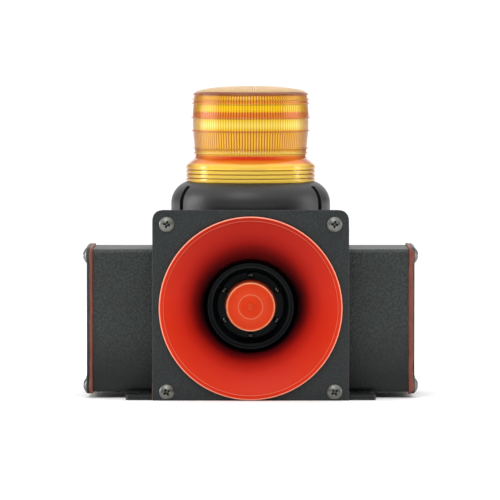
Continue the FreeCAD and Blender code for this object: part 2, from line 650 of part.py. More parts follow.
def make_driver():
    """Compression driver: yoke with the pole, ring magnet, top plate, diaphragm and rear cover."""
    bore = TUBE_R - TUBE_WALL
    yoke = [(bore, BELL_BACK), (DRIVER_R, BELL_BACK), (DRIVER_R, YOKE_BACK), (POLE_R, YOKE_BACK)]
    yoke += [(POLE_R, TOP_PLATE_BACK), (bore - 2, TOP_PLATE_BACK), (bore - 2, YOKE_BACK)]
    yoke = on_horn(turned(yoke, "y"))
    small = circle_points(BOWL_SCREWS, BOWL_SCREW_PITCH_R, 30, BELL_BACK, "y")
    yoke = holes(yoke, small, Y_AXIS, BOWL_SCREW_R, YOKE_T - 1)
    bolts = circle_points(4, DRIVER_BOLT_PITCH_R, 45, YOKE_BACK, "y")
    parts["driver_yoke"] = holes(yoke, bolts, Y_AXIS * -1, M4_R, YOKE_T - 1)

    axis_point = V(0, 0, HORN_Z)
    front = axis_point + Y_AXIS * YOKE_BACK
    middle = axis_point + Y_AXIS * TOP_PLATE_FRONT
    back = axis_point + Y_AXIS * TOP_PLATE_BACK
    parts["driver_magnet"] = tube(MAGNET_R, MAGNET_BORE_R, front, middle)
    top_plate = tube(DRIVER_R, TOP_PLATE_BORE_R, middle, back)
    bolts = circle_points(4, DRIVER_BOLT_PITCH_R, 45, TOP_PLATE_FRONT, "y")
    parts["driver_top_plate"] = holes(top_plate, bolts, Y_AXIS, M4_R + HOLE_PLAY, TOP_PLATE_T + 1)

    rest = TOP_PLATE_BACK + 1.5
    edge_r = CLAMP_R - 8
    rise = 5.0
    skin = 0.5
    edges = [dome(COIL_OUT, rest + skin, rise), line((COIL_OUT, rest + skin), (edge_r, rest + skin))]
    edges += [line((edge_r, rest + skin), (edge_r, rest)), line((edge_r, rest), (COIL_IN, rest))]
    edges += [dome(COIL_IN, rest, rise), line((0, rest + rise), (0, rest + rise + skin))]
    parts["diaphragm"] = on_horn(turned(edges, "y"))
    coil_front = TOP_PLATE_FRONT - 0.5
    parts["voice_coil"] = tube(COIL_OUT, COIL_IN, axis_point + Y_AXIS * coil_front, axis_point + Y_AXIS * rest)

    seat = TOP_PLATE_BACK
    surround = [(CLAMP_R - 7, seat), (CLAMP_R, seat), (CLAMP_R, seat + 1.0), (edge_r - 1.5, seat + 1.0)]
    surround += [(edge_r - 1.5, seat + 0.6), (CLAMP_R - 7, seat + 0.6)]
    parts["diaphragm_surround"] = on_horn(turned(surround, "y"))
    clamp_from = axis_point + Y_AXIS * (seat + 1.0)
    parts["diaphragm_clamp_ring"] = tube(CLAMP_R, CLAMP_R - 6, clamp_from, clamp_from + Y_AXIS * 3.0)

    flange = seat + 3.5
    wall_in = DRIVER_COVER_R - 2.5
    play = 0.2
    outline = [(CLAMP_R + play, seat), (DRIVER_R, seat), (DRIVER_R, flange), (DRIVER_COVER_R, flange)]
    outline += [(DRIVER_COVER_R, DRIVER_BACK), (0, DRIVER_BACK), (0, DRIVER_BACK - 2.5)]
    outline += [(wall_in, DRIVER_BACK - 2.5), (wall_in, seat + 7.0), (CLAMP_R - 2, seat + 7.0)]
    outline += [(CLAMP_R - 2, seat + 4.0), (CLAMP_R + play, seat + 4.0)]
    cover = on_horn(turned(outline, "y"))
    bolts = circle_points(4, DRIVER_BOLT_PITCH_R, 45, flange, "y")
    cover = holes(cover, bolts, Y_AXIS * -1, M4_R + HOLE_PLAY, 4)
    parts["driver_cover"] = holes(cover, bracket_top_points(DRIVER_BACK), Y_AXIS * -1, M3_R, 3)
    length = flange - BELL_BACK - 1.5
    parts["driver_bolts"] = screws(bolts, Y_AXIS, M4_R, length, DRIVER_BOLT_PITCH_R - DRIVER_COVER_R - 0.2, 2.2)


def make_driver_bracket():
    """Hat-shaped bracket between the driver's cover and the back wall."""
    wall_in = BOX_Y - WALL
    low = HORN_Z - BRACKET_H / 2
    high = HORN_Z + BRACKET_H / 2
    strips = [block(-BRACKET_HALF_W, BRACKET_HALF_W, DRIVER_BACK, DRIVER_BACK + BRACKET_T, low, high)]
    for side in (-1, 1):
        leg = side * (BRACKET_HALF_W - BRACKET_T)
        strips.append(block(leg, side * BRACKET_HALF_W, DRIVER_BACK, wall_in, low, high))
        flange = side * (BRACKET_HALF_W + BRACKET_FLANGE)
        strips.append(block(leg, flange, wall_in - BRACKET_T, wall_in, low, high))
    bracket = join(strips)
    bracket = holes(bracket, bracket_foot_points(wall_in), Y_AXIS * -1, M4_R, 4)
    bracket = holes(bracket, bracket_top_points(DRIVER_BACK), Y_AXIS, M3_R + HOLE_PLAY, BRACKET_T + 1)
    parts["driver_bracket"] = bracket
    group("m3_screws", screws(bracket_top_points(DRIVER_BACK + BRACKET_T), Y_AXIS, M3_R, BRACKET_T + 2.5))
    parts["rear_screws"] = screws(bracket_foot_points(BOX_Y), Y_AXIS, M4_R, WALL + 3, M4_R * 2, 2.4)


# ---- beacon ------------------------------------------------------------------------------------------------
def make_beacon_base():
    top_r = LENS_RING_R + 0.5
    middle_r = top_r + (DOME_R - top_r) * 0.67
    foot_top = DECK_Z - DOME_SHOULDER_DROP
    shoulder = arc((DOME_R, foot_top), (middle_r, DECK_Z - DOME_MIDDLE_DROP), (top_r, DECK_Z))
    inner_r = DOME_R - DOME_WALL
    room_top = DECK_Z - DECK_T
    collar_top = DECK_Z + COLLAR_H
    collar_in = COLLAR_R - COLLAR_WALL
    edges = [line((DOME_R, DOME_Z), (DOME_R, foot_top)), shoulder]
    corners = [(top_r, DECK_Z), (COLLAR_R, DECK_Z), (COLLAR_R, collar_top), (collar_in, collar_top)]
    corners += [(collar_in, DECK_Z), (WIRE_HOLE_R, DECK_Z), (WIRE_HOLE_R, room_top)]
    corners += [(inner_r - 9, room_top), (inner_r, DECK_Z - DOME_WALL_DROP), (inner_r, DOME_Z)]
    corners.append((DOME_R, DOME_Z))
    for first, last in zip(corners, corners[1:]):
        edges.append(line(first, last))
    base = turned(edges, "z")
    additions = []
    for point in dome_screw_points(DOME_Z):
        additions.append(rod(5, point, point + Z_AXIS * (DOME_H - 1)))
    ledge_z = DECK_Z + 6.3
    for step in range(TABS):
        middle = 90 + 360 * step / TABS
        additions.append(sector(COLLAR_R - 1, COLLAR_R + 1.6, ledge_z, ledge_z + 2, middle, TAB_SPAN + 2))
        stop_at = middle - TAB_SPAN / 2 - 3.5
        additions.append(sector(COLLAR_R - 1, COLLAR_R + 1.6, DECK_Z + 3.6, ledge_z + 0.5, stop_at, 4))
    base = join([base] + additions)
    groove_half = SEAL_R + SEAL_PLAY
    groove_low = V(0, 0, SEAL_Z - groove_half)
    groove_high = V(0, 0, SEAL_Z + groove_half)
    base = base.cut(tube(LENS_INNER_R, COLLAR_R - SEAL_BITE - SEAL_PLAY, groove_low, groove_high))
    for turn in (DOME_SLOT_ANGLE, 180 - DOME_SLOT_ANGLE, 180 + DOME_SLOT_ANGLE, 360 - DOME_SLOT_ANGLE):
        base = base.cut(dome_slot(turn - 90))
    parts["beacon_base"] = holes(base, dome_screw_points(DOME_Z), Z_AXIS, M4_R, 9)
    gasket = tube(DOME_R - 0.5, WIRE_HOLE_R + 4, V(0, 0, BOX_H), V(0, 0, DOME_Z))
    hole_r = M4_R + HOLE_PLAY
    parts["beacon_base_gasket"] = holes(gasket, dome_screw_points(BOX_H), Z_AXIS, hole_r, DOME_GASKET_T + 1)
    length = WALL + DOME_GASKET_T + 8
    parts["beacon_base_screws"] = screws(dome_screw_points(BOX_H - WALL), Z_AXIS * -1, M4_R, length)
    parts["lens_seal"] = Part.makeTorus(COLLAR_R - SEAL_BITE + SEAL_R, SEAL_R, V(0, 0, SEAL_Z))


def dome_slot(turn):
    """What one upright slot takes out of the dome, at an angle from +X."""
    top = DECK_Z - 2.2
    floor_r = DOME_R - DOME_SLOT_DEPTH
    slab = block(floor_r - 9, DOME_R + 1, -DOME_SLOT_W / 2, DOME_SLOT_W / 2, DOME_Z - 1, top - 0.3)
    profile = [(floor_r, DOME_Z - 1), (DOME_R + 2, DOME_Z - 1), (DOME_R + 2, top), (LENS_RING_R + 1, top)]
    profile.append((floor_r - 0.6, DECK_Z - DOME_SLOT_DROP))
    cutter = slab.common(turned(profile, "z"))
    cutter.rotate(V(0, 0, 0), Z_AXIS, turn)
    return cutter


def crown_edges(edge_r, edge_z, crown):
    """Rounded shoulder and nearly flat top of the lens."""
    shoulder_r = edge_r - 5.0
    shoulder_z = crown - 2.6
    shoulder = arc((edge_r, edge_z), (edge_r - 1.1, (edge_z + shoulder_z) / 2 + 0.7), (shoulder_r, shoulder_z))
    top = bezier((shoulder_r, shoulder_z), (shoulder_r * 0.7, crown - 0.6),
                 (shoulder_r * 0.4, crown), (0, crown))
    return [shoulder, top]


def make_lens():
    """Bayonet lens: ribbed ring, cone, barrel and crown in one thin wall."""
    ring_top = LENS_Z + LENS_RING_H
    cone_top = ring_top + 4.6
    mid_z = LENS_Z + LENS_H * 0.54
    top_z = LENS_Z + LENS_H * 0.913
    crown = LENS_Z + LENS_H
    edges = [line((LENS_INNER_R, LENS_Z), (LENS_RING_R, LENS_Z))]
    edges.append(line((LENS_RING_R, LENS_Z), (LENS_RING_R, ring_top - 1.5)))
    edges.append(line((LENS_RING_R, ring_top - 1.5), (LENS_RING_R - 1.2, ring_top)))
    edges.append(line((LENS_RING_R - 1.2, ring_top), (LENS_LOW_R, cone_top)))
    edges.append(arc((LENS_LOW_R, cone_top), (LENS_MID_R, mid_z), (LENS_TOP_R, top_z)))
    edges += crown_edges(LENS_TOP_R, top_z, crown)
    inner_low = LENS_LOW_R - LENS_WALL
    inner_mid = LENS_MID_R - LENS_WALL
    inner_top = LENS_TOP_R - LENS_WALL
    edges.append(line((0, crown), (0, crown - LENS_WALL)))
    edges += crown_edges(inner_top, top_z, crown - LENS_WALL)
    edges.append(arc((inner_top, top_z), (inner_mid, mid_z), (inner_low, cone_top - 1.5)))
    edges.append(line((inner_low, cone_top - 1.5), (LENS_INNER_R, ring_top - 2.4)))
    edges.append(line((LENS_INNER_R, ring_top - 2.4), (LENS_INNER_R, LENS_Z)))
    lens = turned(edges, "z")
    tabs = []
    for step in range(TABS):
        middle = 90 + 360 * step / TABS
        tabs.append(sector(COLLAR_R + COLLAR_PLAY, LENS_INNER_R + 1,
                           DECK_Z + 4.0, DECK_Z + 6.0, middle, TAB_SPAN))
    parts["beacon_lens"] = join([lens] + tabs)


def make_strobe():
    """Board on three posts with a six-sided LED tower."""
    board_z = DECK_Z + POST_H
    face_z = board_z + BOARD_T
    for point in post_points(DECK_Z):
        group("board_standoffs", tube(3.0, M3_R, point, point + Z_AXIS * POST_H))
    board = rod(STROBE_BOARD_R, V(0, 0, board_z), V(0, 0, face_z))
    board = holes(board, post_points(board_z), Z_AXIS, M3_R + HOLE_PLAY, BOARD_T + 1)
    parts["strobe_board"] = board
    group("m3_screws", screws(post_points(face_z), Z_AXIS, M3_R, BOARD_T + POST_H - 0.5))

    corners = circle_points(TOWER_SIDES, TOWER_R, 0, face_z, "z")
    core = Part.Face(Part.makePolygon(corners + corners[:1])).extrude(Z_AXIS * TOWER_H)
    parts["led_tower"] = core.cut(rod(TOWER_R * 0.4, V(0, 0, face_z), V(0, 0, face_z + TOWER_H + 1)))
    flat = TOWER_R * math.cos(math.pi / TOWER_SIDES)
    half = TOWER_R * math.sin(math.pi / TOWER_SIDES) - 0.8
    pitch = TOWER_H / LEDS_PER_SIDE
    for side in range(TOWER_SIDES):
        turn = 360 * (side + 0.5) / TOWER_SIDES
        strip = block(flat, flat + 1.2, -half, half, face_z + 1, face_z + TOWER_H - 1)
        strip.rotate(V(0, 0, 0), Z_AXIS, turn)
        group("led_strips", strip)
        for row in range(LEDS_PER_SIDE):
            middle = face_z + pitch * (row + 0.5)
            led = block(flat + 1.2, flat + 2.6, -LED_SIZE / 2, LED_SIZE / 2,
                        middle - LED_SIZE / 2, middle + LED_SIZE / 2)
            led.rotate(V(0, 0, 0), Z_AXIS, turn)
            group("led_strips", led)


# ---- electronics ------------------------------------------------------------------------------------------
def make_siren_board():
    low = WING_MID_Z - BOARD_HALF_H
    high = WING_MID_Z + BOARD_HALF_H
    board = block(BOARD_X, BOARD_FACE, -BOARD_HALF_W, BOARD_HALF_W, low, high)
    parts["siren_board"] = holes(board, board_hole_points(BOARD_X), X_AXIS, M3_R + HOLE_PLAY, BOARD_T + 1)
    for point in board_hole_points(BOX_X):
        group("board_standoffs", hex_post(point))
    group("m3_screws", screws(board_hole_points(BOARD_FACE), X_AXIS, M3_R, BOARD_T + 6))


def hex_post(point):
    """Hexagonal standoff with a stud in the housing's wall and a tapped outer end."""
    bar = hex_rod(5.5, V(0, 0, 0), V(0, STANDOFF_L, 0))
    bar.rotate(V(0, 0, 0), Z_AXIS, -90)
    bar.translate(point)
    end = point + X_AXIS * STANDOFF_L
    stud = rod(M3_R, point - X_AXIS * (WALL - 0.5), point + X_AXIS)
    return join([bar, stud]).cut(rod(M3_R, end - X_AXIS * 7, end + X_AXIS))


def on_board(y, z):
    return V(BOARD_FACE, y, WING_MID_Z + z)


def make_board_components():
    spot = on_board(-9, -21)
    low = spot + V(1.5, -15, -13)
    core = Part.makeBox(20, 30, 26, low)
    for offset in (4.0, 17.5):
        core = core.cut(Part.makeBox(11, 8.5, 28, low + V(4.5, offset, -1)))
    parts["transformer_core"] = core
    leg = Part.makeBox(11, 5, 40, low + V(4.5, 12.5, -7))
    coil = Part.makeBox(11, 22, 32, low + V(4.5, 4.0, -3)).cut(leg)
    pins = Part.makeBox(6, 10, 2, low + V(-1.5, 10, -3))
    parts["transformer_coil"] = join([coil, pins])

    cans = []
    for z in (-31, -17, -3):
        spot = on_board(17, z)
        can = rod(6.0, spot, spot + X_AXIS * 20)
        groove = tube(7.0, 5.5, spot + X_AXIS * 2.5, spot + X_AXIS * 3.7)
        cans.append(can.cut(groove))
    parts["capacitors"] = Part.makeCompound(cans)

    spot = on_board(-12, 21)
    sink = Part.makeBox(18, 4, 26, spot + V(0, -2, -13))
    fins = [Part.makeBox(18, 9, 1.2, spot + V(0, -11, -13 + step * 4.96)) for step in range(6)]
    parts["heat_sink"] = join([sink] + fins)
    cases = [Part.makeBox(14, 4.4, 10, spot + V(1.5, 2, -11.5 + step * 13)) for step in range(2)]
    parts["power_transistors"] = Part.makeCompound(cases)


def make_tone_switch():
    """Four-way slide switch: each slider moves along Y in its own slot."""
    spot = on_board(15, 24)
    half_z = 6.2
    half_y = 3.6
    height = 4.2
    body = block(spot.x, spot.x + height, spot.y - half_y, spot.y + half_y, spot.z - half_z, spot.z + half_z)
    slider_y = 1.1
    slider_z = 1.0
    knob_top = height + 0.9
    floor = height - 1.4
    for step in range(SLIDERS):
        z = spot.z + (step - (SLIDERS - 1) / 2) * 2.9
        reach = slider_y / 2 + SLIDER_TRAVEL / 2 + SLIDER_PLAY
        slot = block(spot.x + floor, spot.x + height + 1, spot.y - reach, spot.y + reach,
                     z - slider_z / 2 - SLIDER_PLAY, z + slider_z / 2 + SLIDER_PLAY)
        body = body.cut(slot)
        y = spot.y - SLIDER_TRAVEL / 2
        knob = block(spot.x + floor + 0.1, spot.x + knob_top, y - slider_y / 2, y + slider_y / 2,
                     z - slider_z / 2, z + slider_z / 2)
        parts["tone_slider_%d" % (step + 1)] = knob
    parts["tone_switch_body"] = body


def make_volume_trimmer():
    spot = on_board(15, 9.5)
    body = block(spot.x, spot.x + 4.8, spot.y - 4.6, spot.y + 4.6, spot.z - 4.6, spot.z + 4.6)
    rotor_r = 3.1
    well = rod(rotor_r + 0.05, spot + X_AXIS * 2.6, spot + X_AXIS * 6)
    parts["volume_trimmer_body"] = body.cut(well)
    rotor = rod(rotor_r, spot + X_AXIS * 2.7, spot + X_AXIS * 5.6)
    cut = block(spot.x + 4.6, spot.x + 6, spot.y - 0.4, spot.y + 0.4, spot.z - 2.4, spot.z + 2.4)
    parts["volume_rotor"] = rotor.cut(cut)


def make_terminals():
    """Six-way terminal block on the left partition with its clamping screws."""
    face = -BOX_X - TERMINAL_DEPTH
    middle = TERMINAL_SCREW_Y
    clamp_r = 3.0
    clamp_play = 0.2
    clamp_depth = 7.0
    slot_from = 9.0
    slot_to = 14.0
    body = block(face, -BOX_X, middle - 8, middle + 8,
                 WING_MID_Z - TERMINAL_HALF_H, WING_MID_Z + TERMINAL_HALF_H)
    body = holes(body, terminal_screw_points(face), X_AXIS, M3_R + HOLE_PLAY, TERMINAL_DEPTH + 1)
    heads = []
    for step in range(TERMINAL_WAYS):
        z = WING_MID_Z + (step - (TERMINAL_WAYS - 1) / 2) * TERMINAL_PITCH
        well = V(face + clamp_depth, middle, z)
        body = body.cut(rod(clamp_r + clamp_play, V(face - 1, middle, z), well))
        mouth = block(face + slot_from, face + slot_to, middle - 9, middle - 2, z - clamp_r, z + clamp_r)
        body = body.cut(mouth)
        top = V(face + clamp_depth / 2, middle, z)
        slot = block(top.x - 0.5, top.x + 1, middle - clamp_r, middle + clamp_r, z - 0.4, z + 0.4)
        heads.append(rod(clamp_r, well, top).cut(slot))
    parts["terminal_block"] = body
    parts["terminal_clamp_screws"] = Part.makeCompound(heads)
    group("m3_screws", screws(terminal_screw_points(face), X_AXIS * -1, M3_R, TERMINAL_DEPTH + WALL - 0.5))


def make_fuse():
    """Glass fuse in a holder with two clips, on the left partition."""
    z = WING_MID_Z - FUSE_DROP
    x = -BOX_X - FUSE_OUT
    half_l = 10.0
    cap_l = 5.0
    pieces = [block(-BOX_X, -BOX_X - 3, FUSE_Y - 6, FUSE_Y + 6, z - half_l - 4, z + half_l + 4)]
    caps = []
    for end in (-1, 1):
        outer = z + end * (half_l - 0.5)
        pieces.append(block(-BOX_X - 2, x - 1.5, FUSE_Y - 3.4, FUSE_Y + 3.4, outer, z + end * (cap_l + 0.5)))
        caps.append(rod(FUSE_R, V(x, FUSE_Y, z + end * half_l), V(x, FUSE_Y, z + end * cap_l)))
    bore = rod(FUSE_R, V(x, FUSE_Y, z - half_l - 5), V(x, FUSE_Y, z + half_l + 5))
    parts["fuse_holder"] = join(pieces).cut(bore)
    glass = rod(FUSE_R - 0.2, V(x, FUSE_Y, z - half_l), V(x, FUSE_Y, z + half_l))
    parts["fuse"] = join([glass] + caps)


def make_leads():
    """Wires inside the housing: to the driver, to the beacon and from the terminals."""
    lower = WING_MID_Z + DRIVER_WIRE_UP
    upper = WING_MID_Z + UPPER_WIRE_UP
    strobe_z = upper + 2.6
    supply_z = upper - 2.6
    cover_y = TOP_PLATE_BACK + 12
    cover_z = HORN_Z + 5
    cover_x = math.sqrt(DRIVER_COVER_R ** 2 - 5 ** 2) - 0.2
    behind = DRIVER_BACK + 10
    roof = BOX_H - 14
    terminal_x = -BOX_X - FUSE_OUT
    terminal_y = TERMINAL_SCREW_Y + 8
    for offset in (-LEAD_SPACING / 2, LEAD_SPACING / 2):
        hole_y = WIRE_HOLE_Y + offset
        route = [V(cover_x, cover_y + offset, cover_z), V(BOX_X - 22, cover_y + offset, cover_z)]
        route += [V(BOX_X - 12, hole_y, lower), V(BOARD_X, hole_y, lower)]
        group("internal_leads", wire(route, WIRE_R, LEAD_BEND).cut(parts["driver_cover"]))

        route = [V(0, offset, DECK_Z + POST_H), V(0, offset, roof), V(BOX_X - 18, hole_y, roof)]
        route += [V(BOX_X - 10, hole_y, strobe_z), V(BOARD_X, hole_y, strobe_z)]
        group("internal_leads", wire(route, WIRE_R, LEAD_BEND))

        route = [V(terminal_x, terminal_y, supply_z + offset), V(terminal_x, hole_y, supply_z + offset)]
        route += [V(-BOX_X + 14 - offset, hole_y, supply_z), V(-BOX_X + 30 - offset, behind + offset, supply_z)]
        route += [V(BOX_X - 30 + offset, behind + offset, supply_z), V(BOX_X - 18 + offset, hole_y, supply_z)]
        route.append(V(BOARD_X, hole_y, supply_z))
        group("internal_leads", wire(route, WIRE_R, LEAD_BEND))


def make_gland():
    """Cable gland in the back of the left wing: body, washer, seal, dome nut and locknut."""
    def at(y):
        return V(GLAND_X, y, GLAND_Z)

    wall_in = WING_Y - WALL
    collar = WING_Y + GLAND_WASHER_T
    collar_end = collar + GLAND_COLLAR_T
    thread_end = collar_end + GLAND_THREAD_L
    nut_back = wall_in - GLAND_NUT_T
    inner_end = nut_back - 2
    body = [rod(GLAND_THREAD_R, at(inner_end), at(collar + 1)), hex_rod(GLAND_HEX, at(collar), at(collar_end))]
    body.append(rod(GLAND_FRONT_R, at(collar_end - 1), at(thread_end)))
    parts["gland_body"] = join(body).cut(rod(GLAND_SEAL_R, at(inner_end - 1), at(thread_end + 1)))
    parts["gland_washer"] = tube(GLAND_THREAD_R + 3, GLAND_THREAD_R, at(WING_Y), at(collar))
    locknut = hex_rod(GLAND_HEX, at(nut_back), at(wall_in))
    parts["gland_locknut"] = locknut.cut(rod(GLAND_THREAD_R, at(nut_back - 1), at(WING_Y)))
    parts["gland_seal"] = tube(GLAND_SEAL_R, GLAND_BORE_R, at(collar_end - 4), at(thread_end))

    nut_from = collar_end + 0.8
    grip_end = nut_from + 6
    crown_h = thread_end + 4 - grip_end
    crown_r = GLAND_HEX / 2 - 1
    grip = hex_rod(GLAND_HEX - 2, at(nut_from), at(grip_end))
    grip = grip.common(rod(crown_r + 1.2, at(nut_from), at(grip_end)))
    crown = turned([(0, 0), (crown_r, 0), (crown_r, 3), (crown_r - 2.4, crown_h), (0, crown_h)], "y")
    crown.translate(at(grip_end))
    nut = join([grip, crown]).cut(rod(GLAND_FRONT_R, at(nut_from - 1), at(thread_end)))
    parts["gland_nut"] = nut.cut(rod(GLAND_BORE_R + 1.2, at(nut_from), at(grip_end + crown_h + 1)))


def build():
    make_housing()
    make_front()
    make_end_cover("left", -1)
    make_end_cover("right", 1)
    make_bell()
    make_bowl()
    make_tone_path()
    make_driver()
    make_driver_bracket()
    make_beacon_base()
    make_lens()
    make_strobe()
    make_siren_board()
    make_board_components()
    make_tone_switch()
    make_volume_trimmer()
    make_terminals()
    make_fuse()
    make_leads()
    make_gland()


os.makedirs("parts", exist_ok=True)
build()
for node, shape in parts.items():
    shape.exportStep("parts/" + node + ".step")
print(len(parts), "nodes,", sum(len(shape.Solids) for shape in parts.values()), "solids")
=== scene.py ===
import math

import bmesh
import bpy
from mathutils import Matrix, Vector


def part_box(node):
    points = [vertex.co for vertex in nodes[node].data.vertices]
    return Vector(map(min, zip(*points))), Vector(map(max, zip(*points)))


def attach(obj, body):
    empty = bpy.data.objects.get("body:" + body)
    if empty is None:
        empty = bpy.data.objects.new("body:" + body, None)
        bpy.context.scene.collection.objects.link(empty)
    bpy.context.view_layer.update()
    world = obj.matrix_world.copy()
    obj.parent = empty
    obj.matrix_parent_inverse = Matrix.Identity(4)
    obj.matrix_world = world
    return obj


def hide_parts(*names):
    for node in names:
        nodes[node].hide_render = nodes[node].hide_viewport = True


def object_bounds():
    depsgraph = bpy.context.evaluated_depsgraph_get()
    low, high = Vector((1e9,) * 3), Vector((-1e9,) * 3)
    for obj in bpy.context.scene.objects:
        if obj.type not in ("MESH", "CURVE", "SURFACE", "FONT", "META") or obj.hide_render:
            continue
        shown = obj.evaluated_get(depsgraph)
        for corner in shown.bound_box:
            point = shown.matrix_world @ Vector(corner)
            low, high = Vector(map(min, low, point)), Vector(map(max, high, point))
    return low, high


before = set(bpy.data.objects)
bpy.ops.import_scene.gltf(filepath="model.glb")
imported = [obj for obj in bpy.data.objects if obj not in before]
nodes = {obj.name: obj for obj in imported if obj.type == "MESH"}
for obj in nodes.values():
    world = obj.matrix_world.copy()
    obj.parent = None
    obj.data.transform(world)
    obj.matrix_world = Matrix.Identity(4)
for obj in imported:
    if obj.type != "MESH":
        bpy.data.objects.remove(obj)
cad_low, cad_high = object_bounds()

MM = 0.001

# ---- places and sizes taken from the frame, in metres ------------------------------------------
BELL_LOW, BELL_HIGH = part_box("horn_bell")
PLATE_LOW, PLATE_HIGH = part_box("front_plate")
CAP_LOW, CAP_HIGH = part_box("reflector_cap")
BOWL_LOW, BOWL_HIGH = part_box("horn_bowl")
LENS_LOW, LENS_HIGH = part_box("beacon_lens")
BASE_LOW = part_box("beacon_base")[0]
TUBE_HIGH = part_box("tone_tube")[1]
HOUSING_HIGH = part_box("housing")[1]
HORN_Z = (BELL_LOW.z + BELL_HIGH.z) / 2
RIM_R = BELL_HIGH.x
PLATE_Y = PLATE_LOW.y
OPENING_R = RIM_R - 2.8 * MM

SCREW_HEAD_R = 5.9 * MM
SCREW_HEAD_H = 3.06 * MM
SCREW_SHANK_R = 2.45 * MM
SCREW_HOLE_R = 2.75 * MM
REAR_HEAD_R = 4.0 * MM
REAR_HEAD_H = 2.4 * MM

LENS_PRISMS = 128                     # upright prisms round the barrel
LENS_GROOVES = (168.3, 171.5, 174.7)  # heights of the ring's grooves, in millimetres
LENS_LIPS = (187.4, 191.2, 204.7, 214.9, 225.7, 228.8)    # and of the barrel's lips
CROWN_LOW = 234.4 * MM                # where the crown's ribs begin
CROWN_SWEEP = 110.0                   # how much the ribs lean, in radians of their wave per metre
ROUGH_SPREAD = 0.12                   # how much a finish's roughness drifts

X_TURN = Matrix.Rotation(math.pi / 2, 4, "X")      # local +Z to world -Y, local +Y to world +Z


# ---- mesh helpers --------------------------------------------------------------------------------
def linear(red, green, blue):
    """An sRGB colour (0 to 255) as the linear colour that shaders use."""
    def channel(value):
        value /= 255
        return value / 12.92 if value <= 0.04045 else ((value + 0.055) / 1.055) ** 2.4
    return (channel(red), channel(green), channel(blue), 1.0)


def new_object(name, mesh):
    obj = bpy.data.objects.new(name, mesh)
    bpy.context.scene.collection.objects.link(obj)
    return obj


def shade(mesh, degrees=35):
    """Smooth shading with sharp edges where faces meet at more than the angle."""
    mesh.shade_smooth()
    mesh.set_sharp_from_angle(angle=math.radians(degrees))


def mesh_from(name, points, faces, degrees=35):
    mesh = bpy.data.meshes.new(name)
    mesh.from_pydata(points, [], faces)
    work = bmesh.new()
    work.from_mesh(mesh)
    bmesh.ops.recalc_face_normals(work, faces=work.faces)
    work.to_mesh(mesh)
    work.free()
    shade(mesh, degrees)
    return mesh


def joined(name, meshes):
    """One mesh out of several."""
    work = bmesh.new()
    for mesh in meshes:
        work.from_mesh(mesh)
    whole = bpy.data.meshes.new(name)
    work.to_mesh(whole)
    work.free()
    shade(whole)
    return whole


def arc(centre, radius, start, end, steps):
    """Points of an arc, from and to angles in degrees."""
    found = []
    for step in range(steps + 1):
        turn = math.radians(start + (end - start) * step / steps)
        found.append((centre[0] + radius * math.cos(turn), centre[1] + radius * math.sin(turn)))
    return found


def bezier(poles, steps):
    """Points along a Bezier curve."""
    found = []
    for step in range(steps + 1):
        t = step / steps
        points = [Vector(pole) for pole in poles]
        while len(points) > 1:
            points = [first.lerp(last, t) for first, last in zip(points, points[1:])]
        found.append(tuple(points[0]))
    return found


def rounded(corners, steps=6):
    """A closed outline from (u, v, radius) corners, each one rounded by its radius."""
    found = []
    for index, (u, v, radius) in enumerate(corners):
        point = Vector((u, v))
        back = Vector(corners[index - 1][:2]) - point
        ahead = Vector(corners[(index + 1) % len(corners)][:2]) - point
        half = back.angle(ahead) / 2
        if radius <= 0 or half > math.radians(89.5):
            found.append((u, v))
            continue
        reach = min(radius / math.tan(half), 0.49 * back.length, 0.49 * ahead.length)
        first = point + back.normalized() * reach
        last = point + ahead.normalized() * reach
        for step in range(steps + 1):
            t = step / steps
            found.append(tuple(first.lerp(point, t).lerp(point.lerp(last, t), t)))
    return found


def turned(name, outline, steps, axis="z", height=0.0, shape=None, degrees=35):
    """Revolve a closed outline of (radius, height) points. shape(radius, height, turn) may move a radius."""
    points = []
    rows = []
    for radius, level in outline:
        if radius < 1e-7:
            rows.append([len(points)] * steps)
            points.append((0.0, 0.0, level))
            continue
        row = []
        for step in range(steps):
            turn = 2 * math.pi * step / steps
            reach = shape(radius, level, turn) if shape else radius
            row.append(len(points))
            points.append((reach * math.cos(turn), reach * math.sin(turn), level))
        rows.append(row)
    faces = []
    for first, last in zip(rows, rows[1:] + rows[:1]):
        for step in range(steps):
            after = (step + 1) % steps
            corners = []
            for corner in (first[step], first[after], last[after], last[step]):
                if corner not in corners:
                    corners.append(corner)
            if len(corners) > 2:
                faces.append(corners)
    mesh = mesh_from(name, points, faces, degrees)
    if axis == "y":
        mesh.transform(Matrix.Translation((0, 0, height)) @ X_TURN @ Matrix.Scale(-1, 4, (0, 0, 1)))
        mesh.flip_normals()
    return mesh


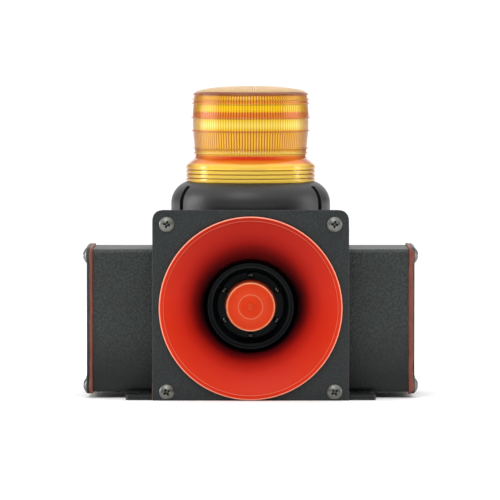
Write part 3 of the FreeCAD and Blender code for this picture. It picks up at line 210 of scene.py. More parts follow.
def sheet(name, outlines, low, high, edge, axis):
    """A flat piece with rounded edges from closed (u, v) outlines: the first is outside, the others are holes.
    It lies between low and high on its axis; u runs along X (axis y) or Y (axis x) and v along Z."""
    curve = bpy.data.curves.new(name, "CURVE")
    curve.dimensions = "2D"
    curve.fill_mode = "BOTH"
    curve.extrude = (high - low) / 2 - edge
    curve.bevel_depth = edge
    curve.bevel_resolution = 3
    curve.offset = -edge
    for outline in outlines:
        spline = curve.splines.new("POLY")
        spline.points.add(len(outline) - 1)
        for point, (u, v) in zip(spline.points, outline):
            point.co = (u, v, 0, 1)
        spline.use_cyclic_u = True
    holder = new_object(name + "_curve", curve)
    mesh = bpy.data.meshes.new_from_object(holder)
    bpy.data.objects.remove(holder)
    mesh.name = name
    work = bmesh.new()
    work.from_mesh(mesh)
    bmesh.ops.remove_doubles(work, verts=work.verts, dist=2e-6)
    bmesh.ops.recalc_face_normals(work, faces=work.faces)
    work.to_mesh(mesh)
    work.free()
    middle = (low + high) / 2
    if axis == "y":
        place = Matrix(((1, 0, 0, 0), (0, 0, -1, middle), (0, 1, 0, 0), (0, 0, 0, 1)))
    else:
        place = Matrix(((0, 0, 1, middle), (1, 0, 0, 0), (0, 1, 0, 0), (0, 0, 0, 1)))
    mesh.transform(place)
    shade(mesh, 30)
    return mesh


def dense(outline, pitch):
    """The same outline with extra points along its long sides."""
    found = []
    for (u, v), (u2, v2) in zip(outline, outline[1:] + outline[:1]):
        parts = max(1, round(math.hypot(u2 - u, v2 - v) / pitch))
        found += [(u + (u2 - u) * step / parts, v + (v2 - v) * step / parts) for step in range(parts)]
    return found


def ring(centre, radius, steps=32):
    return arc(centre, radius, 0, 360 * (steps - 1) / steps, steps - 1)


# ---- materials -------------------------------------------------------------------------------------
class Wiring:
    """A shader's node tree being wired. Most methods add one node and return what comes out of it."""

    def __init__(self, tree, coordinates="Object"):
        self.tree = tree
        self.place = self.add("ShaderNodeTexCoord").outputs[coordinates]
        self.x, self.y, self.z = self.add("ShaderNodeSeparateXYZ", Vector=self.place).outputs

    def feed(self, socket, value):
        """Link another node's output to a socket, or set it to a fixed value."""
        if isinstance(value, bpy.types.NodeSocket):
            self.tree.links.new(value, socket)
        else:
            socket.default_value = value

    def fill(self, node, **values):
        """Set a node's sockets, with _ for a space in their names, and its other settings."""
        for key, value in values.items():
            socket = key.replace("_", " ")
            if socket in node.inputs:
                self.feed(node.inputs[socket], value)
            else:
                setattr(node, key, value)

    def add(self, kind, **values):
        node = self.tree.nodes.new(kind)
        self.fill(node, **values)
        return node

    def math(self, operation, *values, kind="ShaderNodeMath"):
        node = self.add(kind, operation=operation)
        for socket, value in zip(node.inputs, values):
            self.feed(socket, value)
        return node.outputs["Value"]

    def length(self, u, v):
        """Length of the vector (u, v)."""
        flat = self.add("ShaderNodeCombineXYZ", X=u, Y=v).outputs["Vector"]
        return self.math("LENGTH", flat, kind="ShaderNodeVectorMath")

    def span(self, value, low, high, to_low=0.0, to_high=1.0, **more):
        """Map a value from one range to another."""
        node = self.add("ShaderNodeMapRange", From_Min=low, From_Max=high, To_Min=to_low, To_Max=to_high,
                        Value=value, **more)
        return node.outputs["Result"]

    def ramp(self, share, stops):
        """A colour ramp made of (position, colour) stops: its colour and its alpha."""
        node = self.add("ShaderNodeValToRGB", Fac=share)
        points = node.color_ramp.elements
        while len(points) > 1:
            points.remove(points[-1])
        points[0].position, points[0].color = stops[0]
        for position, colour in stops[1:]:
            points.new(position).color = colour
        return node.outputs

    def over(self, share, under, colour):
        """Lay a colour over another one by a share from 0 to 1."""
        return self.add("ShaderNodeMix", data_type="RGBA", Factor=share, A=under, B=colour).outputs["Result"]

    def noise(self, scale, detail, **more):
        return self.add("ShaderNodeTexNoise", Scale=scale, Detail=detail, Vector=self.place, **more).outputs["Fac"]

    def bump(self, height, strength, distance, **more):
        node = self.add("ShaderNodeBump", Strength=strength, Distance=distance, Height=height, **more)
        return node.outputs["Normal"]


def new_material(name):
    """A material, the wiring of its nodes and its shader."""
    material = bpy.data.materials.new(name)
    material.use_nodes = True
    return material, Wiring(material.node_tree), material.node_tree.nodes["Principled BSDF"]


def grey(value):
    return (value, value, value, 1)


def horn_radius(wires):
    """Distance from the horn's axis."""
    return wires.length(wires.x, wires.math("SUBTRACT", wires.z, HORN_Z))


def painted_highlight_rings(wires, surface, stops, colour):
    """Lay painted highlight rings round the horn's axis over a colour; the stops are (radius in millimetres,
    strength).
    """
    low = stops[0][0]
    high = stops[-1][0]
    share = wires.span(horn_radius(wires), low * MM, high * MM)
    strength = wires.ramp(share, [((radius - low) / (high - low), grey(value)) for radius, value in stops])[0]
    return wires.over(strength, surface, colour)


def relief_of(wires, pattern, grain):
    """Height of a fine surface pattern."""
    if pattern == "pebble":
        cells = wires.add("ShaderNodeTexVoronoi", Scale=grain, feature="SMOOTH_F1", Smoothness=0.7,
                          Vector=wires.place)
        return cells.outputs["Distance"]
    if pattern in ("weave", "brush"):
        bands = wires.add("ShaderNodeTexWave", Scale=grain, Distortion=1.5 if pattern == "brush" else 0.2,
                          Vector=wires.place)
        bands.bands_direction = "DIAGONAL" if pattern == "weave" else "Z"
        return bands.outputs["Fac"]
    return wires.noise(grain, 3.0, Roughness=0.55)


def painted_edge_highlights(wires, surface, patches, colour):
    """Painted highlight: lay a lighter colour along outside edges, more in some patches than in others."""
    soft = wires.add("ShaderNodeBevel", Radius=0.7 * MM, samples=4).outputs["Normal"]
    normal = wires.add("ShaderNodeNewGeometry").outputs["Normal"]
    facing = wires.math("DOT_PRODUCT", soft, normal, kind="ShaderNodeVectorMath")
    edge_share = wires.span(facing, 0.97, 0.80)
    return wires.over(wires.math("MULTIPLY", edge_share, patches), surface, colour)


def mottled(name, colour, rough, metallic=0.0, spread=0.18, patch=40.0, grain=900.0, relief=0.2,
            depth=0.15 * MM, coat=0.0, pattern="noise", edge=None, shine=0.5, lines=None, painted_low_shade=False,
            painted_hollow_shade=False):
    """Surface with patchy colour and roughness and a fine relief: noise, pebble, brush or weave, with painted
    shade in the pebble's pits.
    It can have painted highlights along edges, painted highlight rings, painted shade towards the bottom and
    painted shade in hollows."""
    material, wires, shader = new_material(name)
    patches = wires.noise(patch, 5.0, Roughness=0.6)
    dark = tuple(c * (1 - spread) for c in colour[:3]) + (1,)
    light = tuple(min(1, c * (1 + spread)) for c in colour[:3]) + (1,)
    surface = wires.ramp(patches, [(0.3, dark), (0.5, colour), (0.72, light)])[0]

    height = relief_of(wires, pattern, grain)
    if pattern == "pebble":
        # Painted shade: the pebble's pits are darker in the colour.
        pit_shade = tuple(0.35 * c for c in colour[:3]) + (1,)
        surface = wires.over(wires.span(height, 0.25, 0.6, 0.0, 0.75), surface, pit_shade)
    # Painted highlight along outside edges.
    if edge:
        surface = painted_edge_highlights(wires, surface, patches, edge)
    # Painted highlight rings.
    if lines:
        surface = painted_highlight_rings(wires, surface, *lines)
    if painted_hollow_shade:
        # Painted shade: darker where ambient occlusion finds the surface enclosed, as in the screws' cross
        # recesses.
        free = wires.add("ShaderNodeAmbientOcclusion", samples=6, Distance=1.6 * MM).outputs["AO"]
        surface = wires.over(wires.span(free, 0.85, 0.45), surface, (0.006, 0.006, 0.006, 1))
    if painted_low_shade:
        # Painted shade: the colour darkens towards the bottom, from 52 mm down to 16 mm.
        bottom_shade_share = wires.span(wires.z, 52 * MM, 16 * MM, 0.0, 0.8)
        surface = wires.over(bottom_shade_share, surface, (0.004, 0.005, 0.005, 1))

    gloss = wires.span(patches, 0, 1, max(0.03, rough - ROUGH_SPREAD), min(1.0, rough + ROUGH_SPREAD))
    normal = wires.bump(height, relief, depth, invert=pattern == "pebble")
    wires.fill(shader, Base_Color=surface, Roughness=gloss, Normal=normal, Metallic=metallic,
               Specular_IOR_Level=shine, Coat_Weight=coat, Coat_Roughness=0.18)
    return material


def horn_red_material():
    """Red horn: moulded red, with painted shade that darkens it to maroon and near-black down in the throat and
    more on its upper side, and painted highlight lines at the rim.
    """
    material, wires, shader = new_material("horn_red_gloss")
    drift = wires.noise(22.0, 4.0)
    half = 50 * MM
    # Painted shade: the dark of the throat reaches further out on the upper side than on the lower.
    lean = wires.span(wires.z, HORN_Z - half, HORN_Z + half, 3.5 * MM, -3.5 * MM, clamp=False)
    reach = wires.math("ADD", horn_radius(wires), lean)
    reach = wires.math("MULTIPLY_ADD", drift, 5 * MM, reach)
    # Painted shade: the colour goes from red at the rim to maroon and near-black down in the throat; the noise
    # only makes its edge uneven.
    share = wires.span(reach, 36 * MM, RIM_R)
    surface = wires.ramp(share, [(0.05, linear(10, 8, 10)), (0.14, linear(46, 7, 11)), (0.26, linear(108, 10, 12)),
                                 (0.4, linear(168, 24, 12)), (0.62, linear(198, 36, 14)),
                                 (1.0, linear(206, 46, 16))])[0]
    # Painted shade: the upper part of the flare is darker.
    top_shade = wires.span(wires.z, HORN_Z + 10 * MM, HORN_Z + 66 * MM, 0.0, 0.6)
    surface = wires.over(top_shade, surface, linear(138, 18, 14))
    # Painted highlights: pale lines on the rim's outer bead and on its inner step.
    rim = RIM_R / MM
    stops = [(rim - 6, 0), (rim - 3.7, 0), (rim - 3.5, 0.45), (rim - 3.3, 0.45), (rim - 3.1, 0),
             (rim - 1.1, 0), (rim - 0.6, 0.95), (rim, 0.95)]
    surface = painted_highlight_rings(wires, surface, stops, linear(250, 156, 128))
    wires.fill(shader, Base_Color=surface, Normal=wires.bump(wires.noise(420.0, 2.0), 0.06, 0.1 * MM),
               Roughness=wires.span(drift, 0, 1, 0.34, 0.5), Specular_IOR_Level=0.12)
    return material


def lens_light_bands():
    """The lens's painted light and shade by height in millimetres, over its amber: bright and dark bands, dark
    grooves and darker lips.
    A colour's alpha says how strongly the painted shade of the prisms' valleys shows in it."""
    def tone(red, green, blue, stripes):
        return linear(red, green, blue)[:3] + (stripes,)

    yellow = tone(255, 226, 44, 0.5)
    pale = tone(255, 240, 110, 0.4)
    honey = tone(255, 206, 34, 0.95)
    orange = tone(242, 150, 34, 0.9)
    rust = tone(248, 156, 62, 0.9)
    beige = tone(168, 96, 36, 0.0)
    neck = tone(240, 140, 44, 0.0)
    gold = tone(255, 222, 92, 0.0)
    dash = tone(120, 60, 22, 0.9)
    groove = tone(84, 50, 20, 0.0)
    bands = [(165.2, gold)]
    for height in LENS_GROOVES:
        bands += [(height - 0.6, gold), (height, groove), (height + 0.6, gold)]
    bands += [(178.8, gold), (180.4, neck), (185.4, neck), (186.2, yellow), (188.3, pale), (189.6, honey),
              (203.6, honey), (204.6, orange), (205.6, yellow), (209.0, pale), (213.8, yellow), (214.8, rust),
              (218.8, rust), (220.2, yellow), (225.2, yellow), (226.6, rust), (227.8, honey), (231.6, honey),
              (232.4, dash), (234.6, dash), (235.0, beige)]
    return bands


def amber_material():
    """Clear amber plastic with painted light and shade: bands by height, shade in the prisms' valleys, at the
    sides and under the lips, a red patch on the front of the cone, highlights on the crown's swept ribs and a
    faint glow.
    """
    material, wires, shader = new_material("amber_prisms")
    level = wires.span(wires.z, LENS_LOW.z, LENS_HIGH.z)

    def by_height(stops):
        lens_h = LENS_HIGH.z - LENS_LOW.z
        return wires.ramp(level, [((height * MM - LENS_LOW.z) / lens_h, value) for height, value in stops])

    # Painted light and shade of the lens by height, over its amber.
    surface, stripes = by_height(lens_light_bands())
    turn = wires.math("ARCTAN2", wires.y, wires.x)
    phase = wires.math("MULTIPLY", turn, LENS_PRISMS / 2)
    ridge = wires.math("ABSOLUTE", wires.math("SINE", phase))
    # Painted shade in the prisms' valleys, as strong as each band's alpha says.
    valley_shade = wires.math("MULTIPLY", wires.span(ridge, 0.75, 0.25), stripes)
    surface = wires.over(valley_shade, surface, linear(150, 52, 12))

    # Painted light: a red-orange crescent on the front of the cone only.
    ahead = wires.span(wires.y, -26 * MM, -44 * MM, interpolation_type="SMOOTHSTEP")
    front_red_light = by_height([(181.6, grey(0)), (183.0, grey(1)), (184.8, grey(1)), (185.8, grey(0))])[0]
    surface = wires.over(wires.math("MULTIPLY", ahead, front_red_light), surface, linear(232, 62, 24))

    # Painted shade: browner towards the left and right sides of the lens.
    sideways = wires.math("ABSOLUTE", wires.math("COSINE", turn))
    side_shade = wires.span(sideways, 0.78, 1.0, 0.0, 0.75, interpolation_type="SMOOTHSTEP")
    surface = wires.over(side_shade, surface, linear(158, 86, 36))
    # Painted shade just under each lip of the barrel.
    under_lip_shade = []
    for height in LENS_LIPS:
        under_lip_shade += [(height - 1.2, grey(0)), (height - 0.6, grey(0.75)), (height - 0.1, grey(0))]
    surface = wires.over(by_height(under_lip_shade)[0], surface, linear(150, 76, 26))

    # Painted highlights on the crown's swept ribs, which also give its bump.
    swept = wires.math("MULTIPLY_ADD", wires.length(wires.x, wires.y), CROWN_SWEEP, phase)
    rib = wires.span(wires.math("ABSOLUTE", wires.math("SINE", swept)), 0.4, 0.8)
    crown = wires.span(wires.z, CROWN_LOW, CROWN_LOW + 0.6 * MM)
    rib = wires.math("MULTIPLY", rib, crown)
    surface = wires.over(rib, surface, linear(252, 226, 150))

    rough = wires.span(wires.noise(60.0, 3.0), 0, 1, 0.02, 0.1)
    rough = wires.math("MULTIPLY_ADD", crown, 0.3, rough)
    # Painted glow: the lens emits a little of its own painted colour, though it is no lamp.
    wires.fill(shader, Base_Color=surface, Emission_Color=surface, Emission_Strength=0.12, Roughness=rough,
               Normal=wires.bump(rib, 0.8, 0.4 * MM), Transmission_Weight=0.6, Specular_IOR_Level=0.15, IOR=1.49)
    absorb = wires.add("ShaderNodeVolumeAbsorption", Color=(1.0, 0.8, 0.25, 1), Density=45.0)
    wires.fill(wires.tree.nodes["Material Output"], Volume=absorb.outputs["Volume"])
    return material


def materials():
    """Every finish of the object, under the name of its slot in the record."""
    plate = dict(patch=30.0, grain=760.0, relief=0.7, depth=0.25 * MM, pattern="pebble", shine=0.4)
    # Painted highlight rings on the cap: at the edge of its recess and on the chamfer of its face.
    cap_highlight_rings = [(7.5, 0), (8.9, 0.1), (9.25, 0.45), (9.7, 0.05), (17.1, 0), (17.7, 0.2), (18.1, 0.95),
                (18.65, 0.95), (18.9, 0.3), (19.3, 0)]
    return {
        # The edge colours below are painted highlights along outside edges; the housing also gets painted shade
        # towards its bottom, and the dark steel in its hollows.
        "housing_paint": mottled("cast_powder_coat", linear(54, 60, 58), 0.5, spread=0.22, patch=26.0,
                                 grain=640.0, relief=0.75, depth=0.5 * MM, pattern="pebble",
                                 shine=0.35, edge=linear(120, 124, 118), painted_low_shade=True),
        "plate_paint": mottled("plate_powder_coat", linear(36, 42, 43), 0.5, edge=linear(96, 100, 98), **plate),
        "beacon_grey": mottled("beacon_base_paint", linear(25, 25, 25), 0.42, spread=0.1, grain=1300.0,
                               relief=0.25, edge=linear(120, 120, 118)),
        "dark_steel": mottled("blackened_nickel", linear(112, 114, 109), 0.34, metallic=1.0, spread=0.3,
                              patch=260.0, grain=2600.0, relief=0.15, depth=0.05 * MM, painted_hollow_shade=True),
        "zinc_steel": mottled("zinc_plated_steel", linear(188, 190, 192), 0.32, metallic=1.0, patch=90.0,
                              grain=1800.0, relief=0.1),
        "red_silicone": mottled("red_silicone", linear(118, 60, 44), 0.6, spread=0.28, patch=120.0,
                                grain=700.0, relief=0.3),
        "black_rubber": mottled("black_rubber", linear(28, 28, 29), 0.75, grain=900.0, relief=0.3),
        "horn_red": horn_red_material(),
        "cap_red": mottled("cap_red_gloss", linear(208, 56, 16), 0.4, spread=0.07, patch=60.0, grain=500.0,
                           relief=0.05, shine=0.1, edge=linear(245, 150, 95),
                           lines=(cap_highlight_rings, linear(250, 172, 128))),
        "black_plastic": mottled("black_moulding", linear(5, 12, 14), 0.42, spread=0.3, grain=700.0,
                                 relief=0.12, shine=0.14),
        "amber_lens": amber_material(),
        "ferrite": mottled("sintered_ferrite", linear(52, 50, 50), 0.7, patch=200.0, grain=2200.0,
                           relief=0.4, pattern="pebble"),
        "phenolic": mottled("pressed_phenolic", linear(120, 74, 40), 0.6, patch=120.0, grain=1500.0,
                            relief=0.3, pattern="weave"),
        "copper_wire": mottled("enamelled_copper", linear(184, 104, 58), 0.3, metallic=0.9, grain=620.0,
                               relief=0.8, depth=0.3 * MM, pattern="brush"),
        "circuit_green": mottled("solder_mask", linear(24, 92, 56), 0.35, spread=0.35, patch=420.0,
                                 grain=1400.0, relief=0.3, coat=0.5),
        "aluminium": mottled("brushed_aluminium", linear(196, 198, 200), 0.34, metallic=1.0, spread=0.08,
                             grain=900.0, relief=0.2, pattern="brush"),
        "white_plastic": mottled("white_nylon", linear(222, 221, 214), 0.5, spread=0.05, relief=0.08),
        "blue_plastic": mottled("blue_nylon", linear(38, 84, 168), 0.45, spread=0.1, relief=0.08),
        "brass": mottled("nickel_brass", linear(196, 166, 96), 0.28, metallic=1.0, spread=0.12, relief=0.1),
        "fuse_glass": mottled("fuse_glass", linear(206, 214, 214), 0.12, spread=0.06, relief=0.03),
        "wire_red": mottled("wire_insulation", linear(176, 34, 30), 0.45, spread=0.12, relief=0.1),
    }


# ---- pieces -----------------------------------------------------------------------------------------
def keep(name, mesh, slot, body, *replaced):
    """Make a piece out of a mesh: its finish, the body it rides on and the nodes it stands for."""
    obj = new_object(name, mesh)
    obj.data.materials.clear()
    obj.data.materials.append(finishes[slot])
    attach(obj, body)
    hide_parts(*replaced)
    return obj


def make_horn_flare():
    """Flared red horn with a rolled rim, its throat and the flange at its back."""
    front = BELL_LOW.y
    back = BELL_HIGH.y
    throat_r = 36 * MM
    wall = 2.2 * MM
    band_in = RIM_R - 3.3 * MM
    rim_back = PLATE_Y - 0.6 * MM
    throat_y = PLATE_Y + 32 * MM
    flange = back - 4 * MM
    flange_r = 44 * MM
    bore = 10 * MM
    outline = arc((RIM_R - 0.9 * MM, front + 0.9 * MM), 0.9 * MM, 0, -80, 6)
    outline += arc((band_in + 0.5 * MM, front + 0.65 * MM), 0.5 * MM, -95, -170, 5)
    outline += arc((band_in - 0.9 * MM, front + 0.95 * MM), 0.3 * MM, 20, 60, 2)
    start = (band_in - 1.0 * MM, front + 1.45 * MM)
    poles = [start, (RIM_R - 16 * MM, PLATE_Y + 3.5 * MM), (throat_r + 2 * MM, throat_y - 16 * MM),
             (throat_r, throat_y)]
    outline += bezier(poles, 56)
    outline += [(throat_r, flange - 0.5 * MM), (throat_r - 0.5 * MM, flange), (bore, flange), (bore, back)]
    outline += [(flange_r - 0.5 * MM, back), (flange_r, back - 0.5 * MM), (flange_r, flange)]
    outline += [(throat_r + wall + 1 * MM, flange), (throat_r + wall, flange - 1 * MM)]
    back_poles = [(throat_r + wall, throat_y), (throat_r + wall + 2 * MM, throat_y - 15 * MM),
                  (RIM_R - 14.5 * MM, PLATE_Y + 6 * MM), (RIM_R - 3.4 * MM, rim_back)]
    outline += bezier(back_poles, 40)
    outline += [(RIM_R - 0.3 * MM, rim_back), (RIM_R, rim_back - 0.3 * MM)]
    mesh = turned("horn_flare", outline, 256, "y", HORN_Z, degrees=50)
    keep("horn_flare", mesh, "horn_red", "base", "horn_bell")


def make_throat_bowl():
    """Black moulded bowl with turned steps."""
    back = BOWL_HIGH.y
    front = BOWL_LOW.y
    outer = BOWL_HIGH.x
    inner = outer - 5.6 * MM
    floor = back - 3 * MM
    bore = TUBE_HIGH.x
    corners = [(bore, back, 0), (outer, back, 0.3 * MM), (outer, front, 0.5 * MM),
               (outer - 1.7 * MM, front, 0.4 * MM),
               (outer - 2.0 * MM, front + 1.3 * MM, 0.3 * MM), (inner + 1.4 * MM, front + 1.6 * MM, 0.4 * MM),
               (inner + 0.9 * MM, front + 2.6 * MM, 0.3 * MM), (inner + 0.2 * MM, floor - 4.6 * MM, 0.3 * MM),
               (inner - 0.7 * MM, floor - 4.0 * MM, 0.3 * MM), (inner - 0.9 * MM, floor - 1.2 * MM, 0.8 * MM),
               (inner - 2.4 * MM, floor, 0.6 * MM), (bore + 3.4 * MM, floor, 0.3 * MM),
               (bore + 3.0 * MM, floor - 0.8 * MM, 0.3 * MM), (bore + 0.8 * MM, floor - 0.8 * MM, 0.2 * MM),
               (bore, floor - 0.6 * MM, 0.1 * MM)]
    mesh = turned("throat_bowl", rounded(corners, 4), 192, "y", HORN_Z, degrees=40)
    keep("throat_bowl", mesh, "black_plastic", "base", "horn_bowl")


def make_cap():
    """Red cup in the middle of the horn: chamfered face, turned recess and a small boss, with its three ribs."""
    front = CAP_LOW.y + 0.2 * MM
    back = CAP_HIGH.y
    back_r = CAP_HIGH.x
    face_r = 18.7 * MM
    wall = 2.2 * MM
    recess = 9.1 * MM
    boss = 2.6 * MM
    floor = front + 3.0 * MM
    corners = [(0, front - 0.15 * MM, 0), (0.5 * MM, front - 0.15 * MM, 0.1 * MM),
               (0.75 * MM, front + 0.3 * MM, 0.1 * MM),
               (1.5 * MM, front + 0.3 * MM, 0.1 * MM), (1.7 * MM, front - 0.2 * MM, 0.1 * MM),
               (boss - 0.3 * MM, front - 0.2 * MM, 0.15 * MM), (boss, front + 0.75 * MM, 0.15 * MM),
               (recess - 0.6 * MM, front + 0.8 * MM, 0.4 * MM), (recess - 0.1 * MM, front + 0.1 * MM, 0.15 * MM),
               (recess + 0.25 * MM, front - 0.15 * MM, 0.12 * MM), (recess + 0.6 * MM, front, 0.12 * MM),
               (face_r - 1.7 * MM, front, 0.3 * MM), (face_r - 1.35 * MM, front + 0.28 * MM, 0.15 * MM),
               (face_r - 1.0 * MM, front + 0.02 * MM, 0.2 * MM), (face_r - 0.15 * MM, front + 0.5 * MM, 0.4 * MM),
               (face_r + 0.05 * MM, front + 1.5 * MM, 0.3 * MM), (back_r, back, 0.3 * MM),
               (back_r - wall, back, 0.3 * MM), (face_r - wall, floor, 1.0 * MM), (0, floor, 0)]
    pieces = [turned("cup", rounded(corners, 4), 192, "y", HORN_Z, degrees=50)]
    rib_out = face_r - wall + 0.4 * MM
    rib_in = TUBE_HIGH.x
    half = 1.0 * MM
    for step in range(3):
        turn = Matrix.Translation((0, 0, HORN_Z)) @ Matrix.Rotation(math.radians(120 * step + 30), 4, "Y")
        corners = [(rib_in, floor, 0.3 * MM), (rib_out, floor, 0), (rib_out, back - 1 * MM, 0.6 * MM),
                   (rib_in, back - 1 * MM, 0.3 * MM)]
        rib = sheet("rib", [rounded(corners)], -half, half, 0.25 * MM, "y")
        rib.transform(turn @ Matrix(((1, 0, 0, 0), (0, 0, 1, 0), (0, -1, 0, 0), (0, 0, 0, 1))))
        pieces.append(rib)
    keep("reflector_cup", joined("reflector_cup", pieces), "cap_red", "base", "reflector_cap")


def make_lens():
    """Amber bayonet lens: ribbed ring, cone, stepped barrel with upright prisms inside, and a domed crown."""
    base = LENS_LOW.z
    ring_r = LENS_HIGH.x
    inner_r = ring_r - 2.4 * MM
    wall = 2.2 * MM

    def lip(level, radius):
        """A small ledge that stands out of the barrel."""
        return [(radius - 1.15 * MM, level - 0.75 * MM), (radius - 0.12 * MM, level - 0.45 * MM),
                (radius, level), (radius - 0.12 * MM, level + 0.35 * MM), (radius - 1.0 * MM, level + 0.7 * MM)]

    def rows(radius, *pairs):
        """Outline points from pairs in millimetres: how far out from the radius, and the level."""
        return [(radius + out * MM, level * MM) for out, level in pairs]

    outline = [(inner_r, base), (ring_r - 1.0 * MM, base), (ring_r - 0.5 * MM, base + 0.4 * MM)]
    for groove in LENS_GROOVES:
        level = groove * MM
        outline += [(ring_r - 0.05 * MM, level - 1.55 * MM), (ring_r, level - 1.1 * MM),
                    (ring_r - 0.15 * MM, level - 0.55 * MM), (ring_r - 1.0 * MM, level - 0.12 * MM),
                    (ring_r - 1.0 * MM, level + 0.12 * MM), (ring_r - 0.15 * MM, level + 0.55 * MM)]
    outline += rows(ring_r, (-0.02, 176.4), (-0.1, 177.6), (-0.55, 178.5), (-1.4, 179.3), (-3.4, 181.0),
                    (-6.2, 183.2), (-7.3, 184.0), (-7.7, 184.8), (-7.4, 186.0))
    for level, radius in zip(LENS_LIPS, (44.1, 44.4, 45.6, 45.9, 45.4, 45.2)):
        outline += lip(level * MM, radius * MM)
    outline += lip(232.7 * MM, 44.5 * MM)[:3]
    outline += rows(0, (44.3, 233.3), (43.4, 234.1), (41.6, 235.1))
    outline += bezier(rows(0, (39.4, 235.9), (28, 238.5)) + [(15 * MM, LENS_HIGH.z), (0, LENS_HIGH.z)], 14)
    inside_top = LENS_HIGH.z - wall
    outline += bezier([(0, inside_top), (15 * MM, inside_top)] + rows(0, (28, 236.3), (39.0, 233.7)), 14)
    outline += rows(0, (41.4, 232.0), (42.2, 229.0), (42.7, 222.0), (43.1, 214.0), (43.2, 206.0), (42.6, 198.0),
                    (41.4, 190.0), (40.2, 184.5), (40.6, 183.0))
    outline += rows(inner_r, (-3, 179.6), (0, 177.0))

    prisms_low = 184 * MM
    prisms_high = 234.2 * MM
    inside_r = 43.3 * MM
    inside_high = 232.5 * MM

    def fluted(radius, level, turn):
        """Press the upright prisms into the barrel: deep ones inside, shallow ones outside."""
        if level < prisms_low or level > prisms_high:
            return radius
        wave = abs(math.sin(LENS_PRISMS * turn / 2))
        if radius < inside_r and level < inside_high:
            return radius - 0.55 * MM * wave
        return radius - 0.16 * MM * (1 - wave)

    shell = turned("shell", outline, LENS_PRISMS * 6, "z", shape=fluted, degrees=28)
    pieces = [shell]
    tab_low = BASE_LOW.z + 24.5 * MM
    for step in range(3):
        middle = 90 + 120 * step
        start = middle - 8
        path = arc((0, 0), 45.6 * MM, start, start + 16, 10)
        path += arc((0, 0), inner_r + 0.4 * MM, start + 16, start, 10)
        low = [(x, y, tab_low) for x, y in path]
        high = [(x, y, tab_low + 2 * MM) for x, y in path]
        count = len(path)
        faces = [list(range(count)), list(range(count, 2 * count))]
        for index in range(count):
            after = (index + 1) % count
            faces.append([index, after, count + after, count + index])
        pieces.append(mesh_from("tab", low + high, faces))
    mesh = joined("amber_shell", pieces)
    mesh.set_sharp_from_angle(angle=math.radians(28))
    keep("amber_shell", mesh, "amber_lens", "lens", "beacon_lens")


def rounded_box(u_low, v_low, u_high, v_high, low_radius, high_radius, steps=10):
    """Outline of a rectangle; one radius rounds its two low corners, another one the two high ones."""
    return rounded([(u_low, v_low, low_radius), (u_high, v_low, low_radius), (u_high, v_high, high_radius),
                    (u_low, v_high, high_radius)], steps)


def make_plate():
    """Front plate with rounded top corners, softened edges and the horn's opening."""
    half = PLATE_HIGH.x
    soft = 0.8 * MM
    outline = rounded_box(-half, PLATE_LOW.z, half, PLATE_HIGH.z, soft, 9 * MM)
    opening = ring((0, HORN_Z), OPENING_R, 160)
    holes = [ring(spot, SCREW_HOLE_R, 24) for spot in screw_spots("front_plate_screws", 0)]
    mesh = sheet("front_panel", [outline, opening] + holes, PLATE_LOW.y, PLATE_HIGH.y, 0.45 * MM, "y")
    keep("front_panel", mesh, "plate_paint", "base", "front_plate")


def screw_spots(node, axis, head_r=SCREW_HEAD_R):
    """Middles of the four screws whose heads fill the corners of a node's box: x or y by the axis, and z."""
    low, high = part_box(node)
    across = (low[axis] + head_r, high[axis] - head_r)
    up = (low.z + head_r, high.z - head_r)
    return [(u, z) for u in across for z in up]


def make_cover(side, name):
    """End cover and its silicone gasket, which squeezes out unevenly, most of all beside the screws."""
    low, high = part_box(name + "_cover")
    gasket_low, gasket_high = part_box(name + "_cover_gasket")
    radius = 5 * MM

    outside = rounded_box(low.y, low.z, high.y, high.z, radius, radius)
    holes = [ring(spot, SCREW_HOLE_R, 24) for spot in screw_spots("cover_screws", 1)]
    cover = sheet(name + "_end_cover", [outside] + holes, low.x, high.x, 0.5 * MM, "x")
    keep(name + "_end_cover", cover, "housing_paint", "base", name + "_cover")

    middle_z = (low.z + high.z) / 2
    reach = (high.z - low.z) / 2

    def near_corner(z):
        """1 beside the cover's screws, falling to 0 at 9 mm from them."""
        return max(0.0, 1 - abs(abs(z - middle_z) - reach + 6 * MM) / (9 * MM))

    def squeezed(point):
        """Push an outline point outwards: a slow ripple, and a bulge near the corners."""
        u, v = point
        ripple = 0.18 * math.sin(v / (6.1 * MM) + side) + 0.14 * math.sin(v / (2.7 * MM) + 2.1 * side)
        bulge = near_corner(v)
        push = (0.35 + ripple + 0.75 * bulge * bulge) * MM
        return (u + math.copysign(push, u), v + math.copysign(0.3 * push, v - middle_z))

    outer = [squeezed(point) for point in dense(outside, 1.5 * MM)]
    width = 4.3 * MM
    inner = rounded_box(low.y + width, low.z + width, high.y - width, high.z - width, 9 * MM, 9 * MM, 8)
    gasket = sheet(name + "_seal", [outer, inner], gasket_low.x, gasket_high.x, 0.6 * MM, "x")
    wall_x = gasket_low.x if side > 0 else gasket_high.x
    thick = gasket_high.x - gasket_low.x
    for vertex in gasket.vertices:
        point = vertex.co
        beyond = abs(point.y) - (high.y - 0.4 * MM)
        if beyond > 0:
            share = abs(point.x - wall_x) / thick
            corner = near_corner(point.z)
            wave = 0.35 * math.sin(point.z / (9 * MM) + 1.7 * side) + 0.2 * math.sin(point.z / (4 * MM))
            spill = (1.5 + 0.9 * corner ** 2) if side > 0 else (0.1 + 0.5 * corner ** 2)
            point.x += side * share * spill * MM * min(1.0, beyond / (0.4 * MM))
            point.x += side * (1 - share) * (0.25 + 0.3 * wave) * MM
    keep(name + "_seal", gasket, "red_silicone", "base", name + "_cover_gasket")


